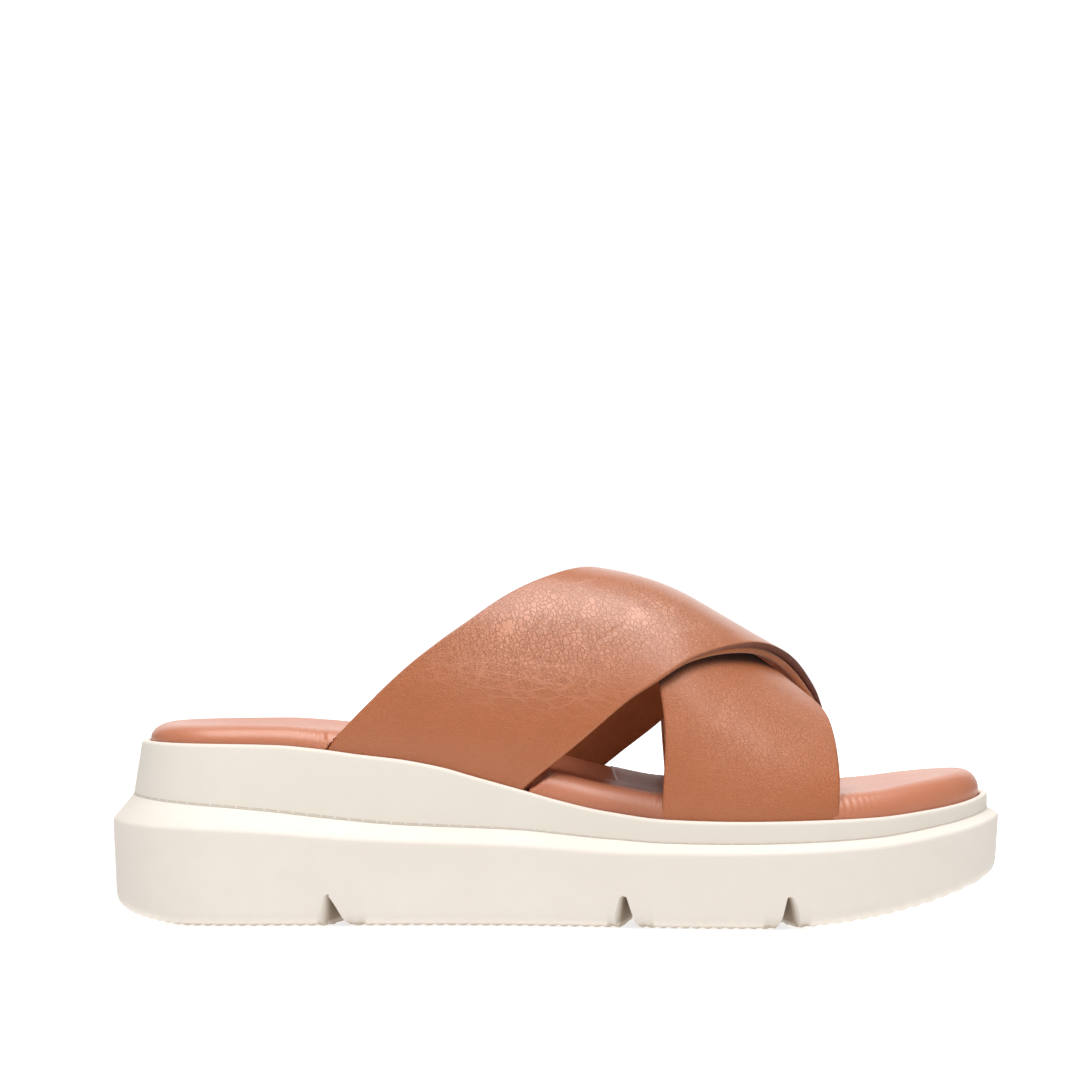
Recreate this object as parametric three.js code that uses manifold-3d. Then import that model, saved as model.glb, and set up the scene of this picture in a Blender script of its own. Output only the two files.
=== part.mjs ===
// A crossed-strap slide sandal for the right foot, on a low wedge sole of two tiers.
// Millimetres. +X points to the toe, +Y to the inner side of the foot, +Z up, with the ground at Z = 0.
import * as THREE from "three";
import { mergeVertices } from "three/addons/utils/BufferGeometryUtils.js";
import Module from "manifold-3d";

// Plan of the sole
const soleLength = 261.4;
const ballWidth = 90;
const heelRoundLength = 36;
const toeRoundLength = 74;
const heelRoundness = 2.25;
const toeRoundness = 2.2;
const toeDrift = 8;

// Heights of the lower tier, its ledge and the rim of the upper tier
const heelLedgeHeight = 28.7;
const waistLedgeHeight = 21.5;
const toeLedgeRise = 8;
const ledgeStep = 7.8;
const ledgeRun = 6;
const heelRimHeight = 51.8;
const forefootRimHeight = 29.8;
const toeRimRise = 7.2;
const heelWallLean = 2.5;

// Ground contact and bottom edge of the lower tier
const outsoleWallTaper = 1.2;
const bottomEdgeRadius = 4.5;
const toeSpring = 12.4;
const toeSpringRun = 73;
const toeSpringPower = 1.95;
const heelSpring = 3.6;
const heelSpringRun = 25;
const heelSpringPower = 1.5;

// Flex grooves across the lower tier
const grooveDepth = 8.9;
const grooveMouth = 6.8;
const grooveWaist = 3.6;
const grooveWaistShare = 0.42;
const grooveCrown = 1.8;
const grooveBow = 6;

// Rim and recess of the upper tier
const rimWidth = 2.2;
const rimEdgeDrop = 1.1;
const rimEdgeRun = 1.2;
const recessDepth = 3;

// Padded insole
const insoleStand = 8.3;
const insoleEdgeRun = 6;
const insoleEdgeShare = 0.9;
const heelCupDepth = 2;
const archRise = 2.6;

// Straps
const strapThickness = 3;
const strapEdgeThinning = 0.5;
const strapEdgeRoll = 1.6;
const instepHeight = 64.5;
const instepRoundness = 2.3;
const ridgeDrift = 11;
const climbRun = 20;
const strapBond = 0.7;
const frontEdgeLift = 3.8;
const liftSharpness = 1.7;

// Clearance between neighbouring pieces
const clearance = 0.3;

// Fineness of the faceted surfaces
const sideStations = 44;
const outlineSamples = 400;
const capCells = 6;
const insoleCells = 8;
const edgeArcSteps = 3;
const grooveSteps = 12;
const strapRows = 32;
const strapColumns = [0, 0.012, 0.04, 0.11, 0.2, 0.3, 0.4, 0.5, 0.6, 0.7, 0.8, 0.89, 0.96, 0.988, 1];
const slopeStep = 1e-3;
const weldDistance = 1e-5;

// Outline of the lower tier's ledge edge. along is a share of the length from the heel, the widths
// are shares of the ball width, drift is a share of the toe drift.
const outlineSections = [
  { along: 0.0, lateral: 0.405, medial: 0.405, drift: 0.0 },
  { along: 0.12, lateral: 0.405, medial: 0.4, drift: 0.0 },
  { along: 0.24, lateral: 0.4, medial: 0.385, drift: 0.0 },
  { along: 0.36, lateral: 0.39, medial: 0.36, drift: 0.0 },
  { along: 0.46, lateral: 0.405, medial: 0.36, drift: 0.0 },
  { along: 0.56, lateral: 0.445, medial: 0.395, drift: 0.0 },
  { along: 0.66, lateral: 0.49, medial: 0.46, drift: 0.04 },
  { along: 0.74, lateral: 0.505, medial: 0.49, drift: 0.12 },
  { along: 0.84, lateral: 0.5, medial: 0.49, drift: 0.4 },
  { along: 1.0, lateral: 0.47, medial: 0.47, drift: 1.0 },
];

// Side view of the sole. rimDrop and ledgeDrop are shares of the drop from heel to forefoot, rimKick
// and ledgeKick of the toe's rise, step of the ledge's step, run of the ledge's run, lean of the lean.
const soleSections = [
  { along: 0.0, rimDrop: 1.0, ledgeDrop: 1.0, step: 1.0, run: 1.0, lean: 1.0 },
  { along: 0.06, rimDrop: 1.0, ledgeDrop: 0.93, step: 0.89, run: 1.0, lean: 1.0 },
  { along: 0.13, rimDrop: 0.995, ledgeDrop: 0.87, step: 0.77, run: 1.0, lean: 0.98 },
  { along: 0.19, rimDrop: 0.98, ledgeDrop: 0.74, step: 0.7, run: 0.97, lean: 0.92 },
  { along: 0.24, rimDrop: 0.925, ledgeDrop: 0.59, step: 0.65, run: 0.93, lean: 0.83 },
  { along: 0.28, rimDrop: 0.85, ledgeDrop: 0.49, step: 0.6, run: 0.88, lean: 0.74 },
  { along: 0.325, rimDrop: 0.77, ledgeDrop: 0.41, step: 0.55, run: 0.83, lean: 0.6 },
  { along: 0.37, rimDrop: 0.65, ledgeDrop: 0.35, step: 0.54, run: 0.76, lean: 0.44 },
  { along: 0.41, rimDrop: 0.51, ledgeDrop: 0.31, step: 0.54, run: 0.69, lean: 0.3 },
  { along: 0.46, rimDrop: 0.355, ledgeDrop: 0.24, step: 0.54, run: 0.62, lean: 0.18 },
  { along: 0.5, rimDrop: 0.235, ledgeDrop: 0.14, step: 0.51, run: 0.58, lean: 0.1 },
  { along: 0.55, rimDrop: 0.115, ledgeDrop: 0.035, step: 0.46, run: 0.56, lean: 0.04 },
  { along: 0.62, rimDrop: 0.02, ledgeDrop: 0.0, step: 0.34, run: 0.56, lean: 0.0 },
  { along: 0.7, rimDrop: 0.0, ledgeDrop: 0.0, step: 0.3, run: 0.56, lean: 0.0 },
  { along: 1.0, rimDrop: 0.0, ledgeDrop: 0.0, step: 0.33, run: 0.56, lean: 0.0 },
];

// Rise of the ledge and of the rim towards the toe, as shares of their rises.
const toeSections = [
  { along: 0.6, ledgeKick: 0.0, rimKick: 0.0 },
  { along: 0.7, ledgeKick: 0.03, rimKick: 0.02 },
  { along: 0.78, ledgeKick: 0.08, rimKick: 0.06 },
  { along: 0.85, ledgeKick: 0.19, rimKick: 0.13 },
  { along: 0.9, ledgeKick: 0.38, rimKick: 0.29 },
  { along: 0.945, ledgeKick: 0.6, rimKick: 0.49 },
  { along: 0.985, ledgeKick: 0.87, rimKick: 0.8 },
  { along: 1.0, ledgeKick: 1.0, rimKick: 1.0 },
];

// Height that the insole stands above the rim, as a share of its tallest stand, the depth of the heel
// cup and the rise of the inner arch as shares of theirs.
const insoleSections = [
  { along: 0.0, stand: 0.56, cup: 0.5, arch: 0.0 },
  { along: 0.1, stand: 0.6, cup: 1.0, arch: 0.0 },
  { along: 0.25, stand: 0.7, cup: 0.8, arch: 0.2 },
  { along: 0.38, stand: 0.85, cup: 0.3, arch: 0.7 },
  { along: 0.5, stand: 0.93, cup: 0.1, arch: 1.0 },
  { along: 0.56, stand: 0.86, cup: 0.1, arch: 0.95 },
  { along: 0.62, stand: 0.79, cup: 0.2, arch: 0.7 },
  { along: 0.7, stand: 0.79, cup: 0.35, arch: 0.3 },
  { along: 0.82, stand: 0.84, cup: 0.4, arch: 0.05 },
  { along: 0.93, stand: 1.0, cup: 0.1, arch: 0.0 },
  { along: 1.0, stand: 0.95, cup: 0.0, arch: 0.0 },
];

// Foot surface below the straps. height is a share of the instep height above the rim, ridge a share
// of the ridge drift to the inner side.
const instepSections = [
  { along: 0.2, height: 0.78, ridge: 0.0 },
  { along: 0.347, height: 0.867, ridge: 0.0 },
  { along: 0.424, height: 0.937, ridge: 0.0 },
  { along: 0.5, height: 0.998, ridge: 0.08 },
  { along: 0.557, height: 1.0, ridge: 0.22 },
  { along: 0.603, height: 0.975, ridge: 0.38 },
  { along: 0.626, height: 0.933, ridge: 0.48 },
  { along: 0.649, height: 0.872, ridge: 0.58 },
  { along: 0.695, height: 0.742, ridge: 0.8 },
  { along: 0.718, height: 0.68, ridge: 0.88 },
  { along: 0.741, height: 0.61, ridge: 0.94 },
  { along: 0.764, height: 0.545, ridge: 0.98 },
  { along: 0.795, height: 0.485, ridge: 1.0 },
  { along: 0.86, height: 0.375, ridge: 1.0 },
];

// Straps. round runs over the foot from the outer rim to the inner rim, and the rear and front edges
// are shares of the sole length.
const overStrapEdges = [
  { round: 0.0, rear: 0.246, front: 0.463 },
  { round: 0.05, rear: 0.276, front: 0.506 },
  { round: 0.1, rear: 0.307, front: 0.544 },
  { round: 0.15, rear: 0.338, front: 0.579 },
  { round: 0.2, rear: 0.37, front: 0.614 },
  { round: 0.25, rear: 0.4, front: 0.64 },
  { round: 0.3, rear: 0.427, front: 0.668 },
  { round: 0.36, rear: 0.46, front: 0.698 },
  { round: 0.43, rear: 0.503, front: 0.724 },
  { round: 0.5, rear: 0.54, front: 0.748 },
  { round: 0.55, rear: 0.56, front: 0.766 },
  { round: 0.6, rear: 0.576, front: 0.784 },
  { round: 0.66, rear: 0.593, front: 0.802 },
  { round: 0.74, rear: 0.61, front: 0.815 },
  { round: 0.85, rear: 0.623, front: 0.823 },
  { round: 1.0, rear: 0.63, front: 0.828 },
];
const underStrapEdges = [
  { round: 0.0, rear: 0.614, front: 0.803 },
  { round: 0.1, rear: 0.617, front: 0.805 },
  { round: 0.2, rear: 0.609, front: 0.803 },
  { round: 0.3, rear: 0.594, front: 0.798 },
  { round: 0.35, rear: 0.582, front: 0.791 },
  { round: 0.42, rear: 0.562, front: 0.764 },
  { round: 0.5, rear: 0.537, front: 0.737 },
  { round: 0.6, rear: 0.5, front: 0.708 },
  { round: 0.7, rear: 0.452, front: 0.685 },
  { round: 0.8, rear: 0.397, front: 0.66 },
  { round: 0.88, rear: 0.351, front: 0.624 },
  { round: 0.95, rear: 0.317, front: 0.57 },
  { round: 1.0, rear: 0.3, front: 0.523 },
];

// How far the over strap's front edge stands off, as a share of its lift, over the foot.
const liftSections = [
  { round: 0.0, lift: 0.0 },
  { round: 0.24, lift: 0.02 },
  { round: 0.3, lift: 0.6 },
  { round: 0.36, lift: 0.97 },
  { round: 0.43, lift: 1.0 },
  { round: 0.5, lift: 0.92 },
  { round: 0.57, lift: 0.74 },
  { round: 0.66, lift: 0.52 },
  { round: 0.76, lift: 0.26 },
  { round: 1.0, lift: 0.0 },
];

// Places of the flex grooves, as shares of the length, the way each one bows in the middle, and how
// far its mouth leans to the toe, as a share of the mouth.
const flexGrooves = [
  { along: 0.2375, bow: 1, lean: 0.22 },
  { along: 0.5595, bow: 1, lean: 0.14 },
  { along: 0.759, bow: -1, lean: 0.0 },
];

const wasm = await Module();
wasm.setup();

// Smooth curve through a table's rows that never overshoots them.
function curveOf(rows, key, column) {
  const at = rows.map((row) => row[key]);
  const value = rows.map((row) => row[column]);
  const slope = at.slice(1).map((x, i) => (value[i + 1] - value[i]) / (x - at[i]));
  const tangent = at.map((x, i) => {
    if (i === 0) return slope[0];
    if (i === at.length - 1) return slope[i - 1];
    if (slope[i - 1] * slope[i] <= 0) return 0;
    return (2 * slope[i - 1] * slope[i]) / (slope[i - 1] + slope[i]);
  });
  return (x) => {
    const held = Math.min(Math.max(x, at[0]), at[at.length - 1]);
    const next = at.findIndex((a) => a >= held);
    const i = Math.max(next - 1, 0);
    const step = at[i + 1] - at[i];
    const t = (held - at[i]) / step;
    const rise = value[i] + t * (value[i + 1] - value[i]);
    const bend = (1 - t) * (tangent[i] - slope[i]) - t * (tangent[i + 1] - slope[i]);
    return rise + t * (1 - t) * step * bend;
  };
}

const shareOf = (x) => x / soleLength + 0.5;
const placeOf = (along) => (along - 0.5) * soleLength;
const alongTable = (rows, column) => {
  const curve = curveOf(rows, "along", column);
  return (x) => curve(shareOf(x));
};
const smoothStep = (t) => {
  const held = Math.min(Math.max(t, 0), 1);
  return held * held * (3 - 2 * held);
};

// Heights along the sole
const rimDrop = alongTable(soleSections, "rimDrop");
const ledgeDrop = alongTable(soleSections, "ledgeDrop");
const stepShare = alongTable(soleSections, "step");
const runShare = alongTable(soleSections, "run");
const leanShare = alongTable(soleSections, "lean");
const ledgeKick = alongTable(toeSections, "ledgeKick");
const rimKick = alongTable(toeSections, "rimKick");
const ledgeHeight = (x) =>
  waistLedgeHeight + (heelLedgeHeight - waistLedgeHeight) * ledgeDrop(x) + toeLedgeRise * ledgeKick(x);
const tierHeight = (x) => ledgeHeight(x) + ledgeStep * stepShare(x);
const rimHeight = (x) =>
  forefootRimHeight + (heelRimHeight - forefootRimHeight) * rimDrop(x) + toeRimRise * rimKick(x);
const recessFloor = (x) => rimHeight(x) - recessDepth;
const groundHeight = (x) => {
  const pastBall = Math.max(x - (soleLength / 2 - toeSpringRun), 0) / toeSpringRun;
  const pastHeel = Math.max(-x - (soleLength / 2 - heelSpringRun), 0) / heelSpringRun;
  return toeSpring * pastBall ** toeSpringPower + heelSpring * pastHeel ** heelSpringPower;
};

// Insets of the rings from the ledge's edge
const tierInset = (x) => ledgeRun * runShare(x);
const rimInset = (x) => tierInset(x) + heelWallLean * leanShare(x);
const recessInset = (x) => rimInset(x) + rimWidth;
const insoleInset = (x) => recessInset(x) + clearance;

// Closed outline of the ledge's edge: from the heel tip along the outer side to the toe tip and back
// along the inner side, at even steps on each side. Each point has the direction to the inside and
// its place across, 0 on the outer side and 1 on the inner side.
function soleOutline() {
  const drift = curveOf(outlineSections, "along", "drift");
  const heelShare = heelRoundLength / soleLength;
  const toeShare = toeRoundLength / soleLength;
  const roundOff = (s) => {
    const heel = Math.max(1 - s / heelShare, 0);
    const toe = Math.max(1 - (1 - s) / toeShare, 0);
    return (1 - heel ** heelRoundness) ** (1 / heelRoundness) * (1 - toe ** toeRoundness) ** (1 / toeRoundness);
  };
  const sideCurve = (side, column) => {
    const width = curveOf(outlineSections, "along", column);
    return Array.from({ length: outlineSamples + 1 }, (unused, i) => {
      const s = (1 - Math.cos((Math.PI * i) / outlineSamples)) / 2;
      const y = toeDrift * drift(s) + side * ballWidth * width(s) * roundOff(s);
      return new THREE.Vector2(placeOf(s), y);
    });
  };
  const lateral = sideCurve(-1, "lateral");
  const medial = sideCurve(1, "medial");
  const low = Math.min(...lateral.map((p) => p.y));
  const high = Math.max(...medial.map((p) => p.y));
  const toWidth = ballWidth / (high - low);
  [...lateral, ...medial].forEach((p) => {
    p.y = (p.y - (high + low) / 2) * toWidth;
  });
  const lateralPoints = evenPoints(lateral, 1);
  const medialPoints = evenPoints(medial, -1).reverse();
  return [...lateralPoints, ...medialPoints.slice(1, -1)];
}

// Even steps along a side curve, with the normal that points to the inside of the outline.
function evenPoints(curve, turn) {
  const lengths = [0];
  curve.slice(1).forEach((p, i) => lengths.push(lengths[i] + p.distanceTo(curve[i])));
  const total = lengths[lengths.length - 1];
  return Array.from({ length: sideStations + 1 }, (unused, k) => {
    if (k === 0) return { x: curve[0].x, y: curve[0].y, inX: 1, inY: 0, across: 0.5 };
    if (k === sideStations) {
      const tip = curve[curve.length - 1];
      return { x: tip.x, y: tip.y, inX: -1, inY: 0, across: 0.5 };
    }
    const target = (total * k) / sideStations;
    const i = lengths.findIndex((length) => length >= target) - 1;
    const t = (target - lengths[i]) / (lengths[i + 1] - lengths[i]);
    const here = curve[i].clone().lerp(curve[i + 1], t);
    const along = curve[i + 1].clone().sub(curve[i]).normalize();
    return { x: here.x, y: here.y, inX: -along.y * turn, inY: along.x * turn, across: (1 - turn) / 2 };
  });
}

const outline = soleOutline();

// A ring round the sole, inset from the outline, at a height that follows the length and the side.
function ringAt(insetAt, heightAt) {
  return outline.map((p) => {
    const inset = insetAt(p.x);
    const x = p.x + p.inX * inset;
    const y = p.y + p.inY * inset;
    return new THREE.Vector3(x, y, heightAt(x, p.across));
  });
}

// Width coordinate of a ring's outer or inner side at a place along the sole.
function sideOf(ring, side) {
  const half = side < 0 ? ring.slice(0, sideStations + 1) : [ring[0], ...ring.slice(sideStations).reverse()];
  return (x) => {
    const i = Math.max(half.findIndex((p) => p.x >= x) - 1, 0);
    const t = (x - half[i].x) / (half[i + 1].x - half[i].x);
    return half[i].y + t * (half[i + 1].y - half[i].y);
  };
}

// A closed solid from points and triangles.
function solidFrom(points, triangles) {
  const geometry = new THREE.BufferGeometry().setFromPoints(points);
  geometry.setIndex(triangles);
  const merged = mergeVertices(geometry, weldDistance);
  return new wasm.Manifold(
    new wasm.Mesh({
      numProp: 3,
      vertProperties: new Float32Array(merged.attributes.position.array),
      triVerts: new Uint32Array(merged.index.array),
    }),
  );
}

// A solid skinned over a stack of rings, closed by a lower and an upper face with their own heights.
function ringSolid(rings, lowerHeight, upperHeight, cells) {
  const count = outline.length;
  const points = rings.flat();
  const triangles = [];
  for (let level = 0; level + 1 < rings.length; level += 1) {
    for (let i = 0; i < count; i += 1) {
      const a = level * count + i;
      const b = level * count + ((i + 1) % count);
      triangles.push(a, b, b + count, a, b + count, a + count);
    }
  }
  closeRing(points, triangles, 0, lowerHeight, cells, true);
  closeRing(points, triangles, (rings.length - 1) * count, upperHeight, cells, false);
  return solidFrom(points, triangles);
}

// A face across a ring, in rows of cells from the outer side to the inner side.
function closeRing(points, triangles, first, heightAt, cells, facesDown) {
  const count = outline.length;
  const rows = [[first]];
  for (let i = 1; i < sideStations; i += 1) {
    const near = points[first + i];
    const far = points[first + count - i];
    const row = [first + i];
    for (let j = 1; j < cells; j += 1) {
      const p = near.clone().lerp(far, j / cells);
      p.z = heightAt(p.x, j / cells);
      row.push(points.push(p) - 1);
    }
    row.push(first + count - i);
    rows.push(row);
  }
  rows.push([first + sideStations]);
  const add = (a, b, c) => triangles.push(...(facesDown ? [a, c, b] : [a, b, c]));
  rows.slice(1).forEach((row, k) => {
    const last = rows[k];
    for (let j = 0; j < cells; j += 1) {
      const a = last[Math.min(j, last.length - 1)];
      const b = last[Math.min(j + 1, last.length - 1)];
      const c = row[Math.min(j, row.length - 1)];
      const d = row[Math.min(j + 1, row.length - 1)];
      if (c !== d) add(a, c, d);
      if (a !== b) add(a, d, b);
    }
  });
}

// Lower tier: rounded bottom edge, near-upright side, sloped ledge.
function outsoleSolid() {
  const rings = [];
  for (let k = 0; k <= edgeArcSteps; k += 1) {
    const turn = (Math.PI / 2) * (k / edgeArcSteps);
    const inset = outsoleWallTaper + bottomEdgeRadius * (1 - Math.sin(turn));
    const rise = bottomEdgeRadius * (1 - Math.cos(turn));
    rings.push(ringAt(() => inset, (x) => groundHeight(x) + rise));
  }
  rings.push(ringAt(() => 0, ledgeHeight));
  rings.push(ringAt(tierInset, tierHeight));
  const body = ringSolid(rings, groundHeight, tierHeight, capCells);
  return flexGrooves.reduce((cut, groove) => cut.subtract(grooveCutter(groove)), body);
}

// A tapered channel with a flared mouth that crosses the lower tier on a bowed path.
function grooveCutter({ along, bow, lean }) {
  const start = placeOf(along);
  const reach = ballWidth / 2 + ledgeRun;
  const crown = grooveCrown / 2;
  const corner = crown * Math.SQRT1_2;
  const waist = grooveWaist / 2;
  const waistHeight = grooveDepth * grooveWaistShare;
  const mouth = grooveMouth / 2;
  const leaned = grooveMouth * lean;
  const below = -grooveWaist;
  const profile = [
    [leaned - mouth, below],
    [leaned + mouth, below],
    [leaned / 2 + waist, waistHeight],
    [crown, grooveDepth - crown],
    [corner, grooveDepth - crown + corner],
    [0, grooveDepth],
    [-corner, grooveDepth - crown + corner],
    [-crown, grooveDepth - crown],
    [leaned / 2 - waist, waistHeight],
  ];
  const sides = profile.length;
  const points = [];
  const triangles = [];
  for (let k = 0; k <= grooveSteps; k += 1) {
    const share = (2 * k) / grooveSteps - 1;
    const shift = grooveBow * bow * (1 - share * share);
    profile.forEach(([x, z]) => points.push(new THREE.Vector3(start + shift + x, share * reach, z)));
  }
  for (let k = 0; k < grooveSteps; k += 1) {
    for (let i = 0; i < sides; i += 1) {
      const a = k * sides + i;
      const b = k * sides + ((i + 1) % sides);
      triangles.push(a, b + sides, b, a, a + sides, b + sides);
    }
  }
  const end = grooveSteps * sides;
  for (let i = 1; i + 1 < sides; i += 1) {
    triangles.push(0, i, i + 1, end, end + i + 1, end + i);
  }
  return solidFrom(points, triangles);
}

// Upper tier: a wedge with a narrow rim round a shallow recess.
function midsoleSolid() {
  const rings = [
    ringAt(tierInset, (x) => tierHeight(x) + clearance),
    ringAt(rimInset, (x) => rimHeight(x) - rimEdgeDrop),
    ringAt(
      (x) => rimInset(x) + rimEdgeRun * (1 - Math.SQRT1_2),
      (x) => rimHeight(x) - rimEdgeDrop * (1 - Math.SQRT1_2),
    ),
    ringAt((x) => rimInset(x) + rimEdgeRun, rimHeight),
    ringAt(recessInset, rimHeight),
    ringAt(recessInset, recessFloor),
  ];
  return ringSolid(rings, (x) => tierHeight(x) + clearance, recessFloor, capCells);
}

// Height of the insole's top inside its rounded edge, with across running from outer to inner side.
const standShare = alongTable(insoleSections, "stand");
const cupShare = alongTable(insoleSections, "cup");
const archShare = alongTable(insoleSections, "arch");
const insoleStandAt = (x, across) =>
  insoleStand * standShare(x) + archRise * archShare(x) * smoothStep(across * 2 - 1);
function insoleTop(x, across) {
  const middle = 4 * across * (1 - across);
  return rimHeight(x) + insoleStandAt(x, across) - heelCupDepth * cupShare(x) * middle;
}

// Footbed: a padded slab in the recess with a rounded edge, notched round the ends of the straps.
function insoleSolid(straps) {
  const rings = [ringAt(insoleInset, (x) => recessFloor(x) + clearance)];
  for (let k = 0; k <= edgeArcSteps; k += 1) {
    const turn = (Math.PI / 2) * (k / edgeArcSteps);
    const inset = insoleEdgeRun * (1 - Math.cos(turn));
    const rise = 1 - insoleEdgeShare * (1 - Math.sin(turn));
    rings.push(
      ringAt(
        (x) => insoleInset(x) + inset,
        (x, across) => rimHeight(x) + insoleStandAt(x, across) * rise,
      ),
    );
  }
  const slab = ringSolid(rings, (x) => recessFloor(x) + clearance, insoleTop, insoleCells);
  return straps.reduce((cut, strap) => cut.subtract(strap), slab);
}

// Foot surface below the straps
const footRing = ringAt((x) => insoleInset(x) + strapThickness, rimHeight);
const outerSide = sideOf(footRing, -1);
const innerSide = sideOf(footRing, 1);
const instepShare = alongTable(instepSections, "height");
const ridgeShare = alongTable(instepSections, "ridge");
function footPoint(x, round) {
  const turn = Math.PI * Math.min(Math.max(round, 0), 1);
  const power = 2 / instepRoundness;
  const across = -Math.cos(turn);
  const up = Math.sin(turn);
  const middle = (outerSide(x) + innerSide(x)) / 2;
  const half = (innerSide(x) - outerSide(x)) / 2;
  const y = middle + half * Math.sign(across) * Math.abs(across) ** power + ridgeDrift * ridgeShare(x) * up * up;
  const z = rimHeight(x) + instepHeight * instepShare(x) * Math.max(up, 0) ** power;
  return new THREE.Vector3(x, y, z);
}

// Outward normal of the foot surface, by small steps along and over it.
function footNormal(x, round) {
  const held = Math.min(Math.max(round, slopeStep), 1 - slopeStep);
  const alongStep = footPoint(x + slopeStep, held).sub(footPoint(x - slopeStep, held));
  const overStep = footPoint(x, held + slopeStep).sub(footPoint(x, held - slopeStep));
  return alongStep.cross(overStep).normalize();
}

const overRear = curveOf(overStrapEdges, "round", "rear");
const overFront = curveOf(overStrapEdges, "round", "front");
const underRear = curveOf(underStrapEdges, "round", "rear");
const underFront = curveOf(underStrapEdges, "round", "front");
const liftShare = curveOf(liftSections, "round", "lift");

// How far the over strap stands off the foot: it climbs onto the under strap and its front edge lifts.
function overStandOff(x, round, across) {
  const inside = Math.min(x - placeOf(underRear(round)), placeOf(underFront(round)) - x);
  const cover = smoothStep((inside + climbRun) / climbRun);
  const lift = frontEdgeLift * liftShare(round) * across ** liftSharpness;
  return (strapThickness - strapBond) * cover + lift;
}

// A strap between its two edges, from the recess on the outer side over the foot to the recess on the
// inner side. grow thickens and widens it all round.
function strapSolid(rearAt, frontAt, standOff, grow) {
  const tuck = recessDepth - clearance + 2 * grow;
  const stations = [{ round: 0, drop: tuck }];
  for (let k = 0; k <= strapRows; k += 1) {
    stations.push({ round: k / strapRows, drop: 0 });
  }
  stations.push({ round: 1, drop: tuck });
  const outer = [];
  const inner = [];
  stations.forEach(({ round, drop }) => {
    const rear = placeOf(rearAt(round)) - grow;
    const front = placeOf(frontAt(round)) + grow;
    strapColumns.forEach((across) => {
      const x = rear + (front - rear) * across;
      const fromEdge = Math.min(across, 1 - across) * (front - rear);
      const roll = Math.sqrt(Math.max(1 - (1 - Math.min(fromEdge / strapEdgeRoll, 1)) ** 2, 0));
      const full = strapThickness * (1 - strapEdgeThinning * (1 - roll));
      const base = standOff(x, round, across) + (strapThickness - full) / 2;
      const foot = footPoint(x, round);
      const normal = footNormal(x, round);
      foot.z -= drop;
      outer.push(foot.clone().addScaledVector(normal, base + full + grow));
      inner.push(foot.clone().addScaledVector(normal, base - grow));
    });
  });
  return shellSolid(outer, inner, stations.length, strapColumns.length);
}

// A closed sheet between an outer and an inner grid of points.
function shellSolid(outer, inner, rows, columns) {
  const points = [...outer, ...inner];
  const triangles = [];
  const quad = (a, b, c, d) => triangles.push(a, b, c, a, c, d);
  const top = (r, c) => r * columns + c;
  const below = (r, c) => rows * columns + top(r, c);
  for (let r = 0; r + 1 < rows; r += 1) {
    for (let c = 0; c + 1 < columns; c += 1) {
      quad(top(r, c), top(r, c + 1), top(r + 1, c + 1), top(r + 1, c));
      quad(below(r, c), below(r + 1, c), below(r + 1, c + 1), below(r, c + 1));
    }
    quad(top(r, 0), top(r + 1, 0), below(r + 1, 0), below(r, 0));
    quad(top(r + 1, columns - 1), top(r, columns - 1), below(r, columns - 1), below(r + 1, columns - 1));
  }
  for (let c = 0; c + 1 < columns; c += 1) {
    quad(top(0, c + 1), top(0, c), below(0, c), below(0, c + 1));
    quad(top(rows - 1, c), top(rows - 1, c + 1), below(rows - 1, c + 1), below(rows - 1, c));
  }
  return solidFrom(points, triangles);
}

const flatOnFoot = () => 0;
const overStrap = (grow) => strapSolid(overRear, overFront, overStandOff, grow);
const underStrap = (grow) => strapSolid(underRear, underFront, flatOnFoot, grow);

// A named mesh of a solid, in its own material.
function piece(name, solid, color, roughness) {
  const mesh = solid.getMesh();
  const geometry = new THREE.BufferGeometry();
  geometry.setAttribute("position", new THREE.BufferAttribute(new Float32Array(mesh.vertProperties), 3));
  geometry.setIndex(new THREE.BufferAttribute(new Uint32Array(mesh.triVerts), 1));
  const material = new THREE.MeshStandardMaterial({ color, roughness, metalness: 0, flatShading: true });
  const made = new THREE.Mesh(geometry, material);
  made.name = name;
  return made;
}

const sandal = new THREE.Group();
sandal.add(piece("outsole", outsoleSolid(), 0xeee5db, 0.6));
sandal.add(piece("midsole", midsoleSolid(), 0xe8e0d5, 0.55));
sandal.add(piece("insole", insoleSolid([overStrap(clearance), underStrap(clearance)]), 0xd78b6a, 0.55));
sandal.add(piece("upper", overStrap(0).add(underStrap(0)), 0xca7e5d, 0.5));

export default sandal;
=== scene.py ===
"""Looks of a crossed-strap slide sandal for the right foot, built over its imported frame.

The shapes are worked out in millimetres, in the frame of the part's source: +X to the toe, +Y to the
inner side of the foot, +Z up, ground at 0. Meshes are written in metres.
"""
import logging
import math
from collections.abc import Callable, Sequence
from dataclasses import dataclass, field, replace
from enum import Enum

import bmesh
import bpy
import numpy as np
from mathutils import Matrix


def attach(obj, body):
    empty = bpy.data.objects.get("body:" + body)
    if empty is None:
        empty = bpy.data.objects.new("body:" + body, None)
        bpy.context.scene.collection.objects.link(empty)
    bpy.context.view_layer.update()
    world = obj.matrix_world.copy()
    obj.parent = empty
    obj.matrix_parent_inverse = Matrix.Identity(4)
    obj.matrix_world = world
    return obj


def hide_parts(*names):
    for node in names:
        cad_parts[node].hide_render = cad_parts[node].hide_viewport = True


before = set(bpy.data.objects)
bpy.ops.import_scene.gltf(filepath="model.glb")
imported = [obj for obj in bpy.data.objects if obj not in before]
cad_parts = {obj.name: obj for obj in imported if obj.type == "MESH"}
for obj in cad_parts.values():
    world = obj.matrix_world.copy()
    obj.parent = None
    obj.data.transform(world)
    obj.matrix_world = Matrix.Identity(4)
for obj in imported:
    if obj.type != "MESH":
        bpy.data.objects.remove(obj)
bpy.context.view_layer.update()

log = logging.getLogger("sandal")

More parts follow.
